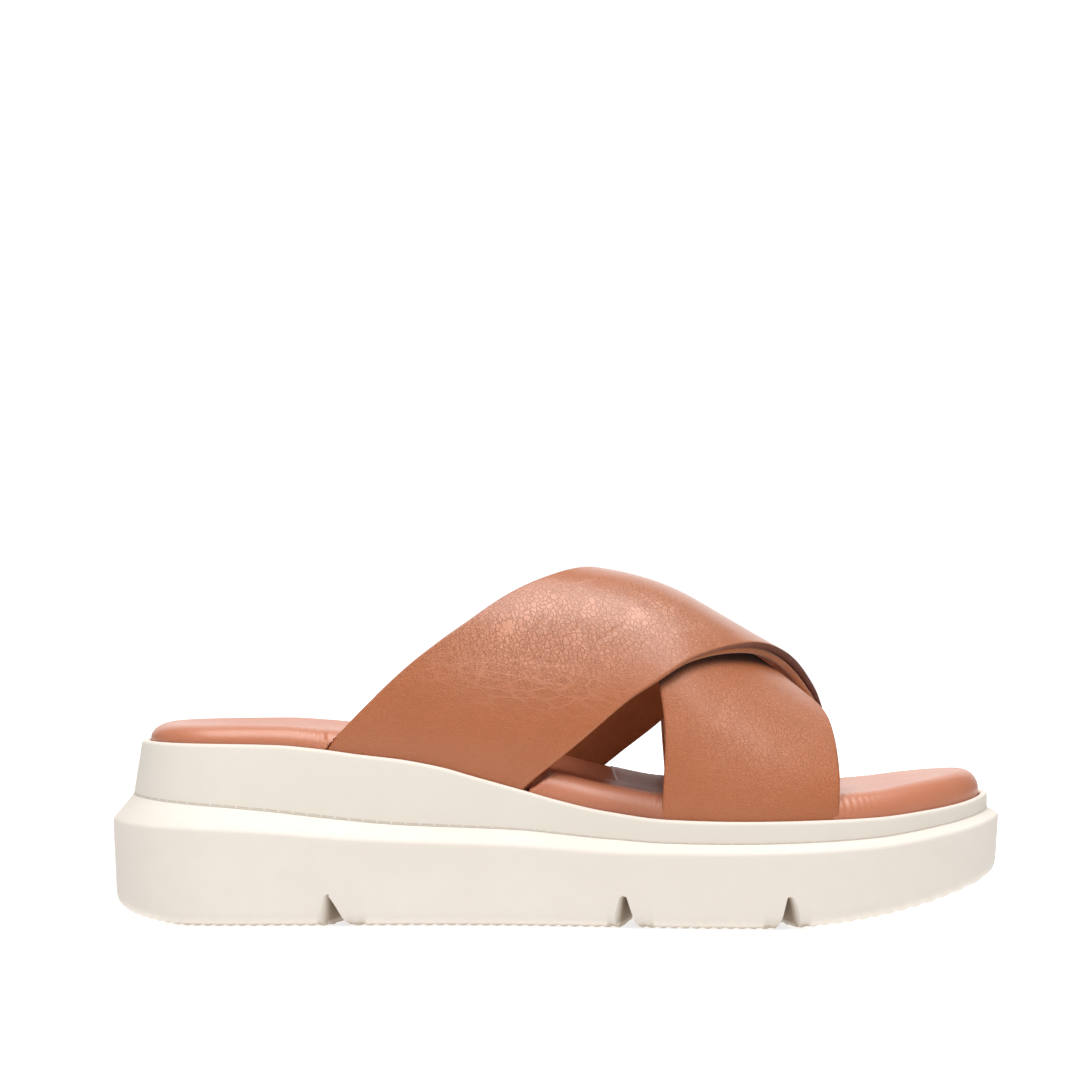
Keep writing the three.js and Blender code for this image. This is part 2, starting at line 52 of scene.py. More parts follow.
Array = np.ndarray
Triple = tuple[float, float, float]
Colour = tuple[float, float, float, float]
Table = dict[str, tuple[float, ...]]
Socket = bpy.types.NodeSocket
Object = bpy.types.Object
Material = bpy.types.Material
METRES_PER_MM = 0.001
# Millimetres between two pieces of which one lies inside the other.
CLEARANCE = 0.3


def srgb(red: int, green: int, blue: int) -> Colour:
    """Turns an 8-bit display colour into the linear colour that a shader takes.

    Args:
        red: Display value from 0 to 255.
        green: Display value from 0 to 255.
        blue: Display value from 0 to 255.

    Returns:
        Linear red, green, blue and an alpha of 1.
    """
    shares = np.array([red, green, blue]) / 255.0
    linear = np.where(shares <= 0.04045, shares / 12.92, ((shares + 0.055) / 1.055) ** 2.4)
    return (float(linear[0]), float(linear[1]), float(linear[2]), 1.0)


def smooth_step(share: Array) -> Array:
    """Eases from 0 to 1: the share squared, times three less twice the share."""
    held = np.clip(share, 0.0, 1.0)
    return held * held * (3.0 - 2.0 * held)


class Curve:
    """A smooth curve through a table's rows that never overshoots them."""

    def __init__(self, at: Sequence[float], value: Sequence[float]) -> None:
        """Keeps the rows and works out a tangent at each one.

        The tangent is the harmonic mean of the slopes on both sides, and 0 at a turn.

        Args:
            at: Places of the rows, rising.
            value: Values at those places.
        """
        self.at = np.asarray(at, dtype=float)
        self.value = np.asarray(value, dtype=float)
        self.slope = np.diff(self.value) / np.diff(self.at)
        left, right = self.slope[:-1], self.slope[1:]
        total = np.where(left * right > 0, left + right, 1.0)
        inner = np.where(left * right > 0, 2.0 * left * right / total, 0.0)
        self.tangent = np.concatenate(([self.slope[0]], inner, [self.slope[-1]]))

    def __call__(self, place: Array) -> Array:
        """Reads the curve.

        Args:
            place: Where to read it; values past the ends are held.

        Returns:
            The straight line between the two rows plus a bend from their tangents.
        """
        held = np.clip(place, self.at[0], self.at[-1])
        row = np.clip(np.searchsorted(self.at, held) - 1, 0, len(self.slope) - 1)
        step = self.at[row + 1] - self.at[row]
        t = (held - self.at[row]) / step
        rise = self.value[row] + t * (self.value[row + 1] - self.value[row])
        bend = (1 - t) * (self.tangent[row] - self.slope[row])
        bend = bend - t * (self.tangent[row + 1] - self.slope[row])
        return rise + t * (1 - t) * step * bend

    def eased(self, place: Array, reach: float) -> Array:
        """Reads the curve softened: the bell-weighted mean of seven readings within a reach."""
        offsets = np.linspace(-1.5, 1.5, 7)
        weights = np.exp(-(offsets**2))
        return sum(w * self(place + reach * o) for w, o in zip(weights / weights.sum(), offsets))


# Tables of shares. "along" holds places along the sole from heel to toe, and "round"
# places over the foot from its outer to its inner rim. The other columns are shares of named sizes.
OUTLINE = {
    "along": (0.0, 0.12, 0.24, 0.36, 0.46, 0.56, 0.66, 0.74, 0.84, 1.0),
    "lateral": (0.405, 0.405, 0.4, 0.39, 0.405, 0.445, 0.49, 0.505, 0.5, 0.47),
    "medial": (0.405, 0.4, 0.385, 0.36, 0.36, 0.395, 0.46, 0.49, 0.49, 0.47),
    "drift": (0.0, 0.0, 0.0, 0.0, 0.0, 0.0, 0.04, 0.12, 0.4, 1.0),
}
SOLE = {
    "along": (0.0, 0.06, 0.13, 0.19, 0.24, 0.28, 0.325, 0.37, 0.41, 0.46, 0.5, 0.55, 0.62, 0.7, 1.0),
    "rim": (1.0, 1.0, 0.995, 0.98, 0.925, 0.86, 0.798, 0.7, 0.57, 0.41, 0.28, 0.15, 0.045, 0.02, 0.015),
    "ledge": (1.0, 0.93, 0.87, 0.74, 0.59, 0.49, 0.41, 0.35, 0.31, 0.24, 0.14, 0.035, 0.0, 0.0, 0.0),
    "step": (1.0, 0.89, 0.77, 0.7, 0.65, 0.6, 0.55, 0.54, 0.54, 0.54, 0.51, 0.46, 0.34, 0.3, 0.33),
    "run": (1.0, 1.0, 1.0, 0.97, 0.93, 0.88, 0.83, 0.76, 0.69, 0.62, 0.58, 0.56, 0.56, 0.56, 0.56),
    "lean": (1.0, 1.0, 0.98, 0.92, 0.83, 0.74, 0.6, 0.44, 0.3, 0.18, 0.1, 0.04, 0.0, 0.0, 0.0),
}
TOE = {
    "along": (0.6, 0.7, 0.78, 0.85, 0.9, 0.945, 0.985, 1.0),
    "ledge": (0.0, 0.03, 0.08, 0.19, 0.38, 0.6, 0.87, 1.0),
    "rim": (0.0, 0.02, 0.06, 0.13, 0.29, 0.49, 0.8, 1.0),
}
INSOLE = {
    "along": (0.0, 0.1, 0.25, 0.38, 0.5, 0.56, 0.62, 0.7, 0.82, 0.93, 1.0),
    "stand": (0.56, 0.6, 0.7, 0.85, 0.93, 0.86, 0.79, 0.79, 0.84, 1.0, 0.95),
    "cup": (0.5, 1.0, 0.8, 0.3, 0.1, 0.1, 0.2, 0.35, 0.4, 0.1, 0.0),
    "arch": (0.0, 0.0, 0.2, 0.7, 1.0, 0.95, 0.7, 0.3, 0.05, 0.0, 0.0),
}
INSTEP = {
    "along": (0.2, 0.347, 0.424, 0.5, 0.557, 0.603, 0.626, 0.649, 0.695, 0.718, 0.741, 0.764, 0.795, 0.86),
    "height": (
        0.775, 0.855, 0.918, 0.982, 0.988, 0.967, 0.926, 0.865, 0.736, 0.674, 0.604, 0.539, 0.48, 0.372,
    ),
    "ridge": (0.0, 0.0, 0.0, 0.08, 0.22, 0.38, 0.48, 0.58, 0.8, 0.88, 0.94, 0.98, 1.0, 1.0),
}
OVER_STRAP = {
    "round": (0.0, 0.05, 0.1, 0.15, 0.2, 0.25, 0.3, 0.36, 0.43, 0.5, 0.55, 0.6, 0.66, 0.74, 0.85, 1.0),
    "rear": (
        0.246, 0.276, 0.307, 0.338, 0.37, 0.4, 0.427, 0.46,
        0.503, 0.54, 0.56, 0.576, 0.593, 0.61, 0.623, 0.63,
    ),
    "front": (
        0.463, 0.506, 0.544, 0.579, 0.614, 0.64, 0.668, 0.698,
        0.724, 0.749, 0.766, 0.782, 0.798, 0.811, 0.822, 0.828,
    ),
}
UNDER_STRAP = {
    "round": (0.0, 0.1, 0.2, 0.3, 0.35, 0.42, 0.5, 0.6, 0.7, 0.8, 0.88, 0.95, 1.0),
    "rear": (0.614, 0.617, 0.609, 0.594, 0.582, 0.562, 0.537, 0.5, 0.452, 0.397, 0.351, 0.317, 0.3),
    "front": (0.803, 0.805, 0.803, 0.798, 0.791, 0.764, 0.737, 0.708, 0.685, 0.66, 0.624, 0.57, 0.523),
}
LIFT = {
    "round": (0.0, 0.24, 0.3, 0.36, 0.43, 0.5, 0.57, 0.66, 0.76, 1.0),
    "lift": (0.0, 0.05, 0.55, 0.95, 1.0, 1.0, 1.0, 0.92, 0.55, 0.0),
}


@dataclass(frozen=True)
class Fold:
    """One crease: its ends as shares over the foot and across the strap, its width and depth."""

    start: tuple[float, float]
    end: tuple[float, float]
    width: float
    depth: float


OVER_FOLDS = (
    Fold((0.36, 0.12), (0.28, 0.2), 1.1, 0.07),
    Fold((0.31, 0.1), (0.22, 0.24), 1.2, 0.08),
    Fold((0.25, 0.08), (0.17, 0.2), 1.2, 0.07),
    Fold((0.35, 0.36), (0.25, 0.5), 1.2, 0.08),
    Fold((0.3, 0.26), (0.23, 0.36), 1.1, 0.06),
    Fold((0.3, 0.66), (0.22, 0.6), 1.1, 0.06),
    Fold((0.15, 0.2), (0.17, 0.62), 0.9, 0.07),
    Fold((0.165, 0.42), (0.15, 0.86), 0.9, 0.08),
    Fold((0.185, 0.3), (0.19, 0.66), 0.9, 0.07),
    Fold((0.4, 0.22), (0.31, 0.85), 5.0, 0.45),
    Fold((0.08, 0.15), (0.1, 0.8), 5.0, 0.25),
)


@dataclass(frozen=True)
class Ring:
    """A closed outline: points, the way in, the place across and the length along it."""

    x: Array
    y: Array
    in_x: Array
    in_y: Array
    across: Array
    arc: Array
    per_side: int

    def row(self, inset: Array, height: Callable[[Array], Array], rise: float = 0.0) -> Array:
        """A profile corner round the outline.

        Args:
            inset: Distance to the inside at each point.
            height: Height at a place along the sole, read where the inset point lies.
            rise: Extra height.

        Returns:
            Rows of inset and height.
        """
        inset = np.broadcast_to(inset, self.x.shape)
        return np.stack([inset, height(self.x + self.in_x * inset) + rise], axis=-1)

    def points(self, inset: Array, height: Array) -> Array:
        """Moves the outline in by an inset and lifts it to a height.

        Args:
            inset: Distance to the inside at each point.
            height: Height at each point.

        Returns:
            Points as rows of x, y, z.
        """
        return np.stack([self.x + self.in_x * inset, self.y + self.in_y * inset, height], axis=-1)

    def sides(self, x: Array, inset: Array | float = 0.0) -> tuple[Array, Array]:
        """Reads both sides of the outline at places along the sole.

        Args:
            x: Places along the sole.
            inset: Distance that the outline is first moved to the inside.

        Returns:
            The sideways place of the outer and of the inner side.
        """
        px, py = self.x + self.in_x * inset, self.y + self.in_y * inset
        toe = self.per_side
        inner_x, inner_y = (np.append(p[:1], p[toe:][::-1]) for p in (px, py))
        return np.interp(x, px[: toe + 1], py[: toe + 1]), np.interp(x, inner_x, inner_y)


@dataclass(frozen=True)
class SoleForm:
    """The sizes of the two-tier sole and the surfaces that follow from them."""

    length: float = 261.4
    ball_width: float = 90.0
    heel_round: float = 36.0
    toe_round: float = 74.0
    heel_roundness: float = 2.25
    toe_roundness: float = 2.2
    toe_drift: float = 8.0
    heel_ledge: float = 28.7
    waist_ledge: float = 21.5
    toe_ledge_rise: float = 8.0
    ledge_step: float = 7.8
    ledge_run: float = 6.0
    heel_rim: float = 51.8
    forefoot_rim: float = 29.8
    toe_rim_rise: float = 7.2
    heel_wall_lean: float = 2.5
    toe_spring: float = 12.4
    toe_spring_run: float = 73.0
    toe_spring_power: float = 1.95
    heel_spring: float = 3.6
    heel_spring_run: float = 25.0
    heel_spring_power: float = 1.5
    rim_width: float = 2.2
    recess_depth: float = 3.0
    insole_stand: float = 8.3
    heel_cup: float = 2.0
    cup_start: float = 12.0
    cup_run: float = 30.0
    arch_rise: float = 2.6

    def along(self, table: Table, column: str, x: Array) -> Array:
        """Reads a table's column at places along the sole."""
        return Curve(table["along"], table[column])(x / self.length + 0.5)

    def ledge(self, x: Array) -> Array:
        """Height of the lower tier's outer edge."""
        drop = (self.heel_ledge - self.waist_ledge) * self.along(SOLE, "ledge", x)
        return self.waist_ledge + drop + self.toe_ledge_rise * self.along(TOE, "ledge", x)

    def tier(self, x: Array) -> Array:
        """Height at which the upper tier stands on the ledge."""
        return self.ledge(x) + self.ledge_step * self.along(SOLE, "step", x)

    def rim(self, x: Array) -> Array:
        """Height of the upper tier's rim."""
        drop = (self.heel_rim - self.forefoot_rim) * self.along(SOLE, "rim", x)
        return self.forefoot_rim + drop + self.toe_rim_rise * self.along(TOE, "rim", x)

    def ground(self, x: Array) -> Array:
        """Height of the bottom: 0 where it stands, rising by a power towards toe and heel."""
        toe = np.maximum(x - (self.length / 2 - self.toe_spring_run), 0) / self.toe_spring_run
        heel = np.maximum(-x - (self.length / 2 - self.heel_spring_run), 0) / self.heel_spring_run
        return self.toe_spring * toe**self.toe_spring_power + self.heel_spring * heel**self.heel_spring_power

    def tier_inset(self, x: Array) -> Array:
        """Inset of the upper tier's foot."""
        return self.ledge_run * self.along(SOLE, "run", x)

    def rim_inset(self, x: Array) -> Array:
        """Inset of the upper tier's rim."""
        return self.tier_inset(x) + self.heel_wall_lean * self.along(SOLE, "lean", x)

    def recess_inset(self, x: Array) -> Array:
        """Inset of the recess for the footbed."""
        return self.rim_inset(x) + self.rim_width

    def footbed_stand(self, x: Array, across: Array) -> Array:
        """Height of the footbed's edge above the rim, raised at the inner arch."""
        arch = self.arch_rise * self.along(INSOLE, "arch", x) * smooth_step(across * 2 - 1)
        return self.insole_stand * self.along(INSOLE, "stand", x) + arch

    def footbed_top(self, x: Array, across: Array) -> Array:
        """Height of the footbed's top, hollowed across by a parabola for the heel."""
        eased_in = smooth_step((x + self.length / 2 - self.cup_start) / self.cup_run)
        cup = self.heel_cup * self.along(INSOLE, "cup", x) * 4 * across * (1 - across) * eased_in
        return self.rim(x) + self.footbed_stand(x, across) - cup

    def outline(self, per_side: int, samples: int = 6000) -> Ring:
        """Works out the ledge's outline at even steps on each side.

        Each side is a width table rounded off at heel and toe by superellipses, moved by the toe's
        drift and scaled to the ball width.

        Args:
            per_side: Steps on each side.
            samples: Fineness of the curve that the steps are measured on.

        Returns:
            The closed ring, from the heel tip along the outer side to the toe and back.
        """
        s = (1 - np.cos(np.pi * np.linspace(0, 1, samples))) / 2
        heel = np.maximum(1 - s * self.length / self.heel_round, 0)
        toe = np.maximum(1 - (1 - s) * self.length / self.toe_round, 0)
        round_off = (1 - heel**self.heel_roundness) ** (1 / self.heel_roundness)
        round_off = round_off * (1 - toe**self.toe_roundness) ** (1 / self.toe_roundness)
        drift = self.toe_drift * Curve(OUTLINE["along"], OUTLINE["drift"])(s)
        outer = drift - self.ball_width * Curve(OUTLINE["along"], OUTLINE["lateral"])(s) * round_off
        inner = drift + self.ball_width * Curve(OUTLINE["along"], OUTLINE["medial"])(s) * round_off
        low, high = outer.min(), inner.max()
        to_width = self.ball_width / (high - low)
        x = (s - 0.5) * self.length
        sides = [self._even(x, (y - (high + low) / 2) * to_width, per_side) for y in (outer, inner)]
        ends = np.zeros(per_side + 1, dtype=bool)
        ends[[0, -1]] = True
        parts = []
        for (px, py, ax, ay, arc), turn in zip(sides, (1.0, -1.0)):
            in_x = np.where(ends, 0.0, -ay * turn)
            in_y = np.where(ends, 0.0, ax * turn)
            in_x[0], in_x[-1] = 1.0, -1.0
            across = np.where(ends, 0.5, (1 - turn) / 2)
            parts.append([px, py, in_x, in_y, across, arc])
        outer_side, inner_side = parts
        inner_side[5] = outer_side[5][-1] * 2 - inner_side[5]
        joined = [np.concatenate([a, b[::-1][1:-1]]) for a, b in zip(outer_side, inner_side)]
        return Ring(*joined, per_side=per_side)

    @staticmethod
    def _even(x: Array, y: Array, steps: int) -> tuple[Array, Array, Array, Array, Array]:
        """Even steps along a curve: places, directions and lengths."""
        lengths = np.concatenate(([0.0], np.cumsum(np.hypot(np.diff(x), np.diff(y)))))
        at = np.linspace(0, lengths[-1], steps + 1)
        px, py = np.interp(at, lengths, x), np.interp(at, lengths, y)
        reach = lengths[-1] / steps * 0.25
        ahead, behind = np.minimum(at + reach, lengths[-1]), np.maximum(at - reach, 0)
        ax = np.interp(ahead, lengths, x) - np.interp(behind, lengths, x)
        ay = np.interp(ahead, lengths, y) - np.interp(behind, lengths, y)
        size = np.hypot(ax, ay)
        return px, py, ax / size, ay / size, at


def corner(a: Array, b: Array, c: Array, radius: float, steps: int) -> Array:
    """Rounds the corner at b between a and c.

    Each point of the arc is the quadratic blend of three: a radius before the corner, the corner
    itself and a radius past it.

    Args:
        a: Points before the corner, as rows of inset and height.
        b: The corner's points.
        c: Points after it.
        radius: Length that is cut from each side.
        steps: Steps of the arc.

    Returns:
        An array of the arc's steps, rows and two columns.
    """
    before = b + (a - b) * (radius / np.linalg.norm(a - b, axis=-1, keepdims=True))
    after = b + (c - b) * (radius / np.linalg.norm(c - b, axis=-1, keepdims=True))
    t = np.linspace(0, 1, steps + 1)[:, None, None]
    return (1 - t) ** 2 * before + 2 * t * (1 - t) * b + t**2 * after


def straight(a: Array, b: Array, steps: int) -> Array:
    """Points between a and b, without either end."""
    t = np.linspace(0, 1, steps + 1)[1:-1, None, None]
    return a + (b - a) * t


@dataclass
class Skin:
    """Vertices, faces and face-corner coordinates of a mesh under construction."""

    points: list[Array] = field(default_factory=list)
    faces: list[Array] = field(default_factory=list)
    corners: list[Array] = field(default_factory=list)
    count: int = 0

    def add_points(self, points: Array) -> Array:
        """Adds points and gives their indices in the shape of the grid."""
        flat = points.reshape(-1, 3)
        first = self.count
        self.points.append(flat)
        self.count += len(flat)
        return np.arange(first, self.count).reshape(points.shape[:-1])

    def add_grid(self, index: Array, u: Array, v: Array, flip: bool = False) -> None:
        """Adds the quads of an index grid.

        Args:
            index: Vertex indices as rows and columns.
            u: First coordinate at each grid place.
            v: Second coordinate at each grid place.
            flip: Turns the faces round.
        """
        corners = [(slice(None, -1), slice(None, -1)), (slice(None, -1), slice(1, None))]
        corners += [(slice(1, None), slice(1, None)), (slice(1, None), slice(None, -1))]
        if flip:
            corners.reverse()
        quads = np.stack([index[c] for c in corners], axis=-1).reshape(-1, 4)
        uv = np.stack([np.stack([u[c], v[c]], axis=-1) for c in corners], axis=-2).reshape(-1, 4, 2)
        self.faces.append(quads)
        self.corners.append(uv)

    def make(self, name: str, sharp: float = 180.0) -> Object:
        """Writes the mesh, in metres, as an object at the origin.

        Quads that have shrunk to triangles lose their double corner.

        Args:
            name: The piece's name.
            sharp: Edges that bend more than this many degrees stay crisp.

        Returns:
            The new object.
        """
        points = np.concatenate(self.points) * METRES_PER_MM
        quads = np.concatenate(self.faces)
        uv = np.concatenate(self.corners) * METRES_PER_MM
        keep = quads != np.roll(quads, -1, axis=1)
        faces = [q[k].tolist() for q, k in zip(quads, keep)]
        mesh = bpy.data.meshes.new(name)
        mesh.from_pydata(points.tolist(), [], faces)
        layer = mesh.uv_layers.new(name="surface")
        layer.data.foreach_set("uv", uv[keep].astype(np.float32).ravel())
        mesh.polygons.foreach_set("use_smooth", np.ones(len(mesh.polygons), dtype=bool))
        mesh.update()
        if sharp < 180.0:
            mesh.set_sharp_from_angle(angle=math.radians(sharp))
        made = bpy.data.objects.new(name, mesh)
        bpy.context.scene.collection.objects.link(made)
        return made


def carry(made: Object, name: str, values: Array | float) -> None:
    """Gives each vertex of a piece a named value.

    Args:
        made: The piece.
        name: The value's name.
        values: One number for each vertex, or one for all.
    """
    layer = made.data.attributes.new(name, "FLOAT", "POINT")
    flat = np.broadcast_to(np.ravel(values).astype(np.float32), (len(made.data.vertices),))
    layer.data.foreach_set("value", np.ascontiguousarray(flat))


def ring_skin(ring: Ring, levels: Array, height: Array) -> tuple[Skin, Array]:
    """Skins a stack of rings.

    Args:
        ring: The outline that the stack follows.
        levels: Points as levels, places round and x, y, z, from the lowest ring up.
        height: Second surface coordinate of each level.

    Returns:
        The skin and its index grid.
    """
    skin = Skin()
    index = skin.add_points(levels)
    closed = np.concatenate([index, index[:, :1]], axis=1)
    total = ring.arc[ring.per_side] * 2
    u = np.broadcast_to(np.concatenate([ring.arc, [total]]), closed.shape)
    v = np.broadcast_to(height[:, None], closed.shape)
    skin.add_grid(closed, u, v)
    return skin, index


def cap_skin(
    skin: Skin,
    edge: Array,
    points: Array,
    height: Callable[[Array, Array, Array], Array],
    cells: int,
    faces_down: bool,
) -> None:
    """Closes a ring by rows of cells from its outer to its inner side.

    Args:
        skin: The mesh under construction.
        edge: Vertex indices of the ring.
        points: The ring's points.
        height: Height at x, y and the place across.
        cells: Cells in each row.
        faces_down: Whether the face looks down.
    """
    half = len(edge) // 2
    order = np.arange(half + 1)
    near, far = points[order], points[(-order) % len(edge)]
    t = np.linspace(0, 1, cells + 1)[None, 1:-1, None]
    inner = near[1:-1, None] + (far - near)[1:-1, None] * t
    inner[..., 2] = height(inner[..., 0], inner[..., 1], np.broadcast_to(t[..., 0], inner.shape[:2]))
    index = np.empty((half + 1, cells + 1), dtype=int)
    index[:, 0], index[:, -1] = edge[order], edge[(-order) % len(edge)]
    index[0], index[-1] = edge[0], edge[half]
    index[1:-1, 1:-1] = skin.add_points(inner)
    grid = near[:, None] + (far - near)[:, None] * np.linspace(0, 1, cells + 1)[None, :, None]
    skin.add_grid(index, grid[..., 0], grid[..., 1], flip=not faces_down)


class NodeTree:
    """Short ways to add and join shader nodes."""

    def __init__(self, tree: bpy.types.NodeTree) -> None:
        """Keeps the tree that nodes go into."""
        self.tree = tree

    def node(self, kind: str, inputs: dict[str, object] | None = None, **settings: object) -> bpy.types.Node:
        """Adds a node.

        Args:
            kind: The node's type.
            inputs: Socket name or number to a value, or to a socket that it is linked from.
            settings: Attributes of the node.

        Returns:
            The new node.
        """
        made = self.tree.nodes.new(kind)
        for key, value in settings.items():
            setattr(made, key, value)
        for key, value in (inputs or {}).items():
            socket = made.inputs[key]
            if isinstance(value, Socket):
                self.tree.links.new(value, socket)
            else:
                socket.default_value = value
        return made

    def link(self, value: Socket, node: bpy.types.Node, socket: str) -> None:
        """Links a value to a node's input."""
        self.tree.links.new(value, node.inputs[socket])

    def math(self, operation: str, *values: object) -> Socket:
        """Adds a Math node and gives its result."""
        made = self.node("ShaderNodeMath", dict(enumerate(values)), operation=operation)
        return made.outputs[0]

    def span(
        self, value: object, low: float, high: float, to_low: float = 0.0, to_high: float = 1.0
    ) -> Socket:
        """Maps a range smoothly onto another one, held at both ends.

        Args:
            value: What is read.
            low: Start of the range.
            high: End of the range.
            to_low: Result at its start.
            to_high: Result at its end.

        Returns:
            The result.
        """
        inputs = {"Value": value, "From Min": low, "From Max": high, "To Min": to_low, "To Max": to_high}
        return self.node("ShaderNodeMapRange", inputs, interpolation_type="SMOOTHSTEP").outputs["Result"]

    def vector(self, operation: str, first: object, second: object) -> Socket:
        """Adds a Vector Math node and gives its vector."""
        inputs = {0: first, "Scale" if operation == "SCALE" else 1: second}
        return self.node("ShaderNodeVectorMath", inputs, operation=operation).outputs[0]

    def noise(self, place: Socket, scale: object, detail: float, roughness: float = 0.5) -> bpy.types.Node:
        """Adds soft noise at a place."""
        inputs = {"Vector": place, "Scale": scale, "Detail": detail, "Roughness": roughness}
        return self.node("ShaderNodeTexNoise", inputs)

    def waver(self, place: Socket, scale: float, detail: float, reach: object) -> Socket:
        """Shifts a place by noise: the noise's colour less a half, times a reach.

        Args:
            place: The place.
            scale: Fineness of the noise.
            detail: Its number of finer layers.
            reach: The widest shift.

        Returns:
            The shifted place.
        """
        shift = self.vector("SUBTRACT", self.noise(place, scale, detail).outputs["Color"], (0.5, 0.5, 0.5))
        return self.vector("ADD", place, self.vector("SCALE", shift, reach))

    def borders(self, place: Socket, scale: object, randomness: float = 1.0) -> Socket:
        """Adds scattered cells and gives the distance to their borders."""
        inputs = {"Vector": place, "Scale": scale, "Randomness": randomness}
        made = self.node("ShaderNodeTexVoronoi", inputs, feature="DISTANCE_TO_EDGE")
        return made.outputs["Distance"]

    def relief(self, height: Socket, strength: float, distance: float) -> Socket:
        """Adds a Bump node and gives its normal."""
        inputs = {"Height": height, "Strength": strength, "Distance": distance}
        return self.node("ShaderNodeBump", inputs).outputs[0]

    def blend(self, factor: object, first: object, second: object) -> Socket:
        """Mixes two colours by a factor."""
        made = self.node("ShaderNodeMix", data_type="RGBA", blend_type="MIX")
        for number, value in ((0, factor), (6, first), (7, second)):
            if isinstance(value, Socket):
                self.tree.links.new(value, made.inputs[number])
            else:
                made.inputs[number].default_value = value
        return made.outputs[2]

    def position(self, scale: Triple = (1.0, 1.0, 1.0), turn: Triple = (0.0, 0.0, 0.0)) -> Socket:
        """The piece's own coordinates in metres, turned by angles and then stretched."""
        place = self.node("ShaderNodeTexCoord").outputs["Object"]
        inputs = {"Vector": place, "Scale": scale, "Rotation": turn}
        return self.node("ShaderNodeMapping", inputs, vector_type="TEXTURE").outputs[0]

    def surface(self) -> tuple[Socket, Socket]:
        """The two surface coordinates of the piece's own map, in metres."""
        place = self.node("ShaderNodeUVMap", uv_map="surface").outputs[0]
        made = self.node("ShaderNodeSeparateXYZ", {0: place})
        return made.outputs[0], made.outputs[1]

    def attribute(self, name: str) -> Socket:
        """A value that the piece carries at its vertices."""
        return self.node("ShaderNodeAttribute", attribute_name=name).outputs["Fac"]

    def group(self, tree: bpy.types.NodeTree, inputs: dict[str, object]) -> bpy.types.Node:
        """Places a node group with its values."""
        made = self.node("ShaderNodeGroup", node_tree=tree)
        for key, value in inputs.items():
            if isinstance(value, Socket):
                self.tree.links.new(value, made.inputs[key])
            else:
                made.inputs[key].default_value = value
        return made


def new_group(
    name: str, inputs: dict[str, tuple[str, float]], outputs: Sequence[str]
) -> tuple[NodeTree, bpy.types.Node, bpy.types.Node]:
    """Starts a node group with named sockets.

    Args:
        name: The group's name.
        inputs: Socket name to its kind and usual value.
        outputs: Names of the values that it puts out.

    Returns:
        The tree, its input node and its output node.
    """
    tree = bpy.data.node_groups.new(name, "ShaderNodeTree")
    for key, (kind, usual) in inputs.items():
        socket = tree.interface.new_socket(name=key, in_out="INPUT", socket_type=kind)
        if kind == "NodeSocketFloat":
            socket.default_value = usual
    for key in outputs:
        tree.interface.new_socket(name=key, in_out="OUTPUT", socket_type="NodeSocketFloat")
    return NodeTree(tree), tree.nodes.new("NodeGroupInput"), tree.nodes.new("NodeGroupOutput")


class Effects:
    """Node groups that more than one finish uses, each built once."""

    def __init__(self) -> None:
        """Builds the groups."""
        self.pebble = self._pebble()
        self.mottle = self._mottle()
        self.web = self._web()

    @staticmethod
    def _pebble() -> bpy.types.NodeTree:
        """Leather grain: rounded cells parted by fine valleys, with smaller cells between them."""
        tree, take, give = new_group(
            "pebble grain",
            {
                "Place": ("NodeSocketVector", 0.0),
                "Cells": ("NodeSocketFloat", 900.0),
                "Waver": ("NodeSocketFloat", 0.6),
            },
            ("Height", "Valley"),
        )
        reach = tree.math("DIVIDE", take.outputs["Waver"], take.outputs["Cells"])
        place = tree.waver(take.outputs["Place"], 180.0, 2.0, reach)
        heights = []
        for share in (1.0, 2.3):
            scale = tree.math("MULTIPLY", take.outputs["Cells"], share)
            heights.append(tree.span(tree.borders(place, scale, 0.95), 0.0, 0.32))
        broad, fine = tree.math("MULTIPLY", heights[0], 0.7), tree.math("MULTIPLY", heights[1], 0.3)
        tree.link(tree.math("ADD", broad, fine), give, "Height")
        tree.link(tree.math("SUBTRACT", 1.0, heights[0]), give, "Valley")
        return tree.tree

    @staticmethod
    def _web() -> bpy.types.NodeTree:
        """A net of fine creases: the borders of wavering cells of two sizes, strong in patches."""
        tree, take, give = new_group(
            "crease net",
            {"Place": ("NodeSocketVector", 0.0), "Cells": ("NodeSocketFloat", 330.0)},
            ("Line",),
        )
        place = tree.waver(take.outputs["Place"], 260.0, 3.0, 0.0018)
        patch = tree.noise(take.outputs["Place"], 120.0, 2.0).outputs[0]
        lines = []
        for share, width, low in ((1.0, 0.11, 0.2), (1.9, 0.14, 0.34)):
            scale = tree.math("MULTIPLY", take.outputs["Cells"], share)
            line = tree.span(tree.borders(place, scale), 0.0, width, 1.0, 0.0)
            lines.append(tree.math("MULTIPLY", line, tree.span(patch, low, low + 0.16)))
        tree.link(tree.math("MAXIMUM", lines[0], tree.math("MULTIPLY", lines[1], 0.6)), give, "Line")
        return tree.tree

    @staticmethod
    def _mottle() -> bpy.types.NodeTree:
        """Cloudy unevenness from 0 to 1, from two sizes of soft noise."""
        tree, take, give = new_group(
            "cloudy tone",
            {"Place": ("NodeSocketVector", 0.0), "Size": ("NodeSocketFloat", 40.0)},
            ("Tone",),
        )
        broad = tree.noise(take.outputs["Place"], take.outputs["Size"], 3.0).outputs[0]
        finer = tree.math("MULTIPLY", take.outputs["Size"], 6.0)
        small = tree.noise(take.outputs["Place"], finer, 2.0).outputs[0]
        mixed = tree.math("ADD", tree.math("MULTIPLY", broad, 0.7), tree.math("MULTIPLY", small, 0.3))
        tree.link(tree.span(mixed, 0.3, 0.7), give, "Tone")
        return tree.tree


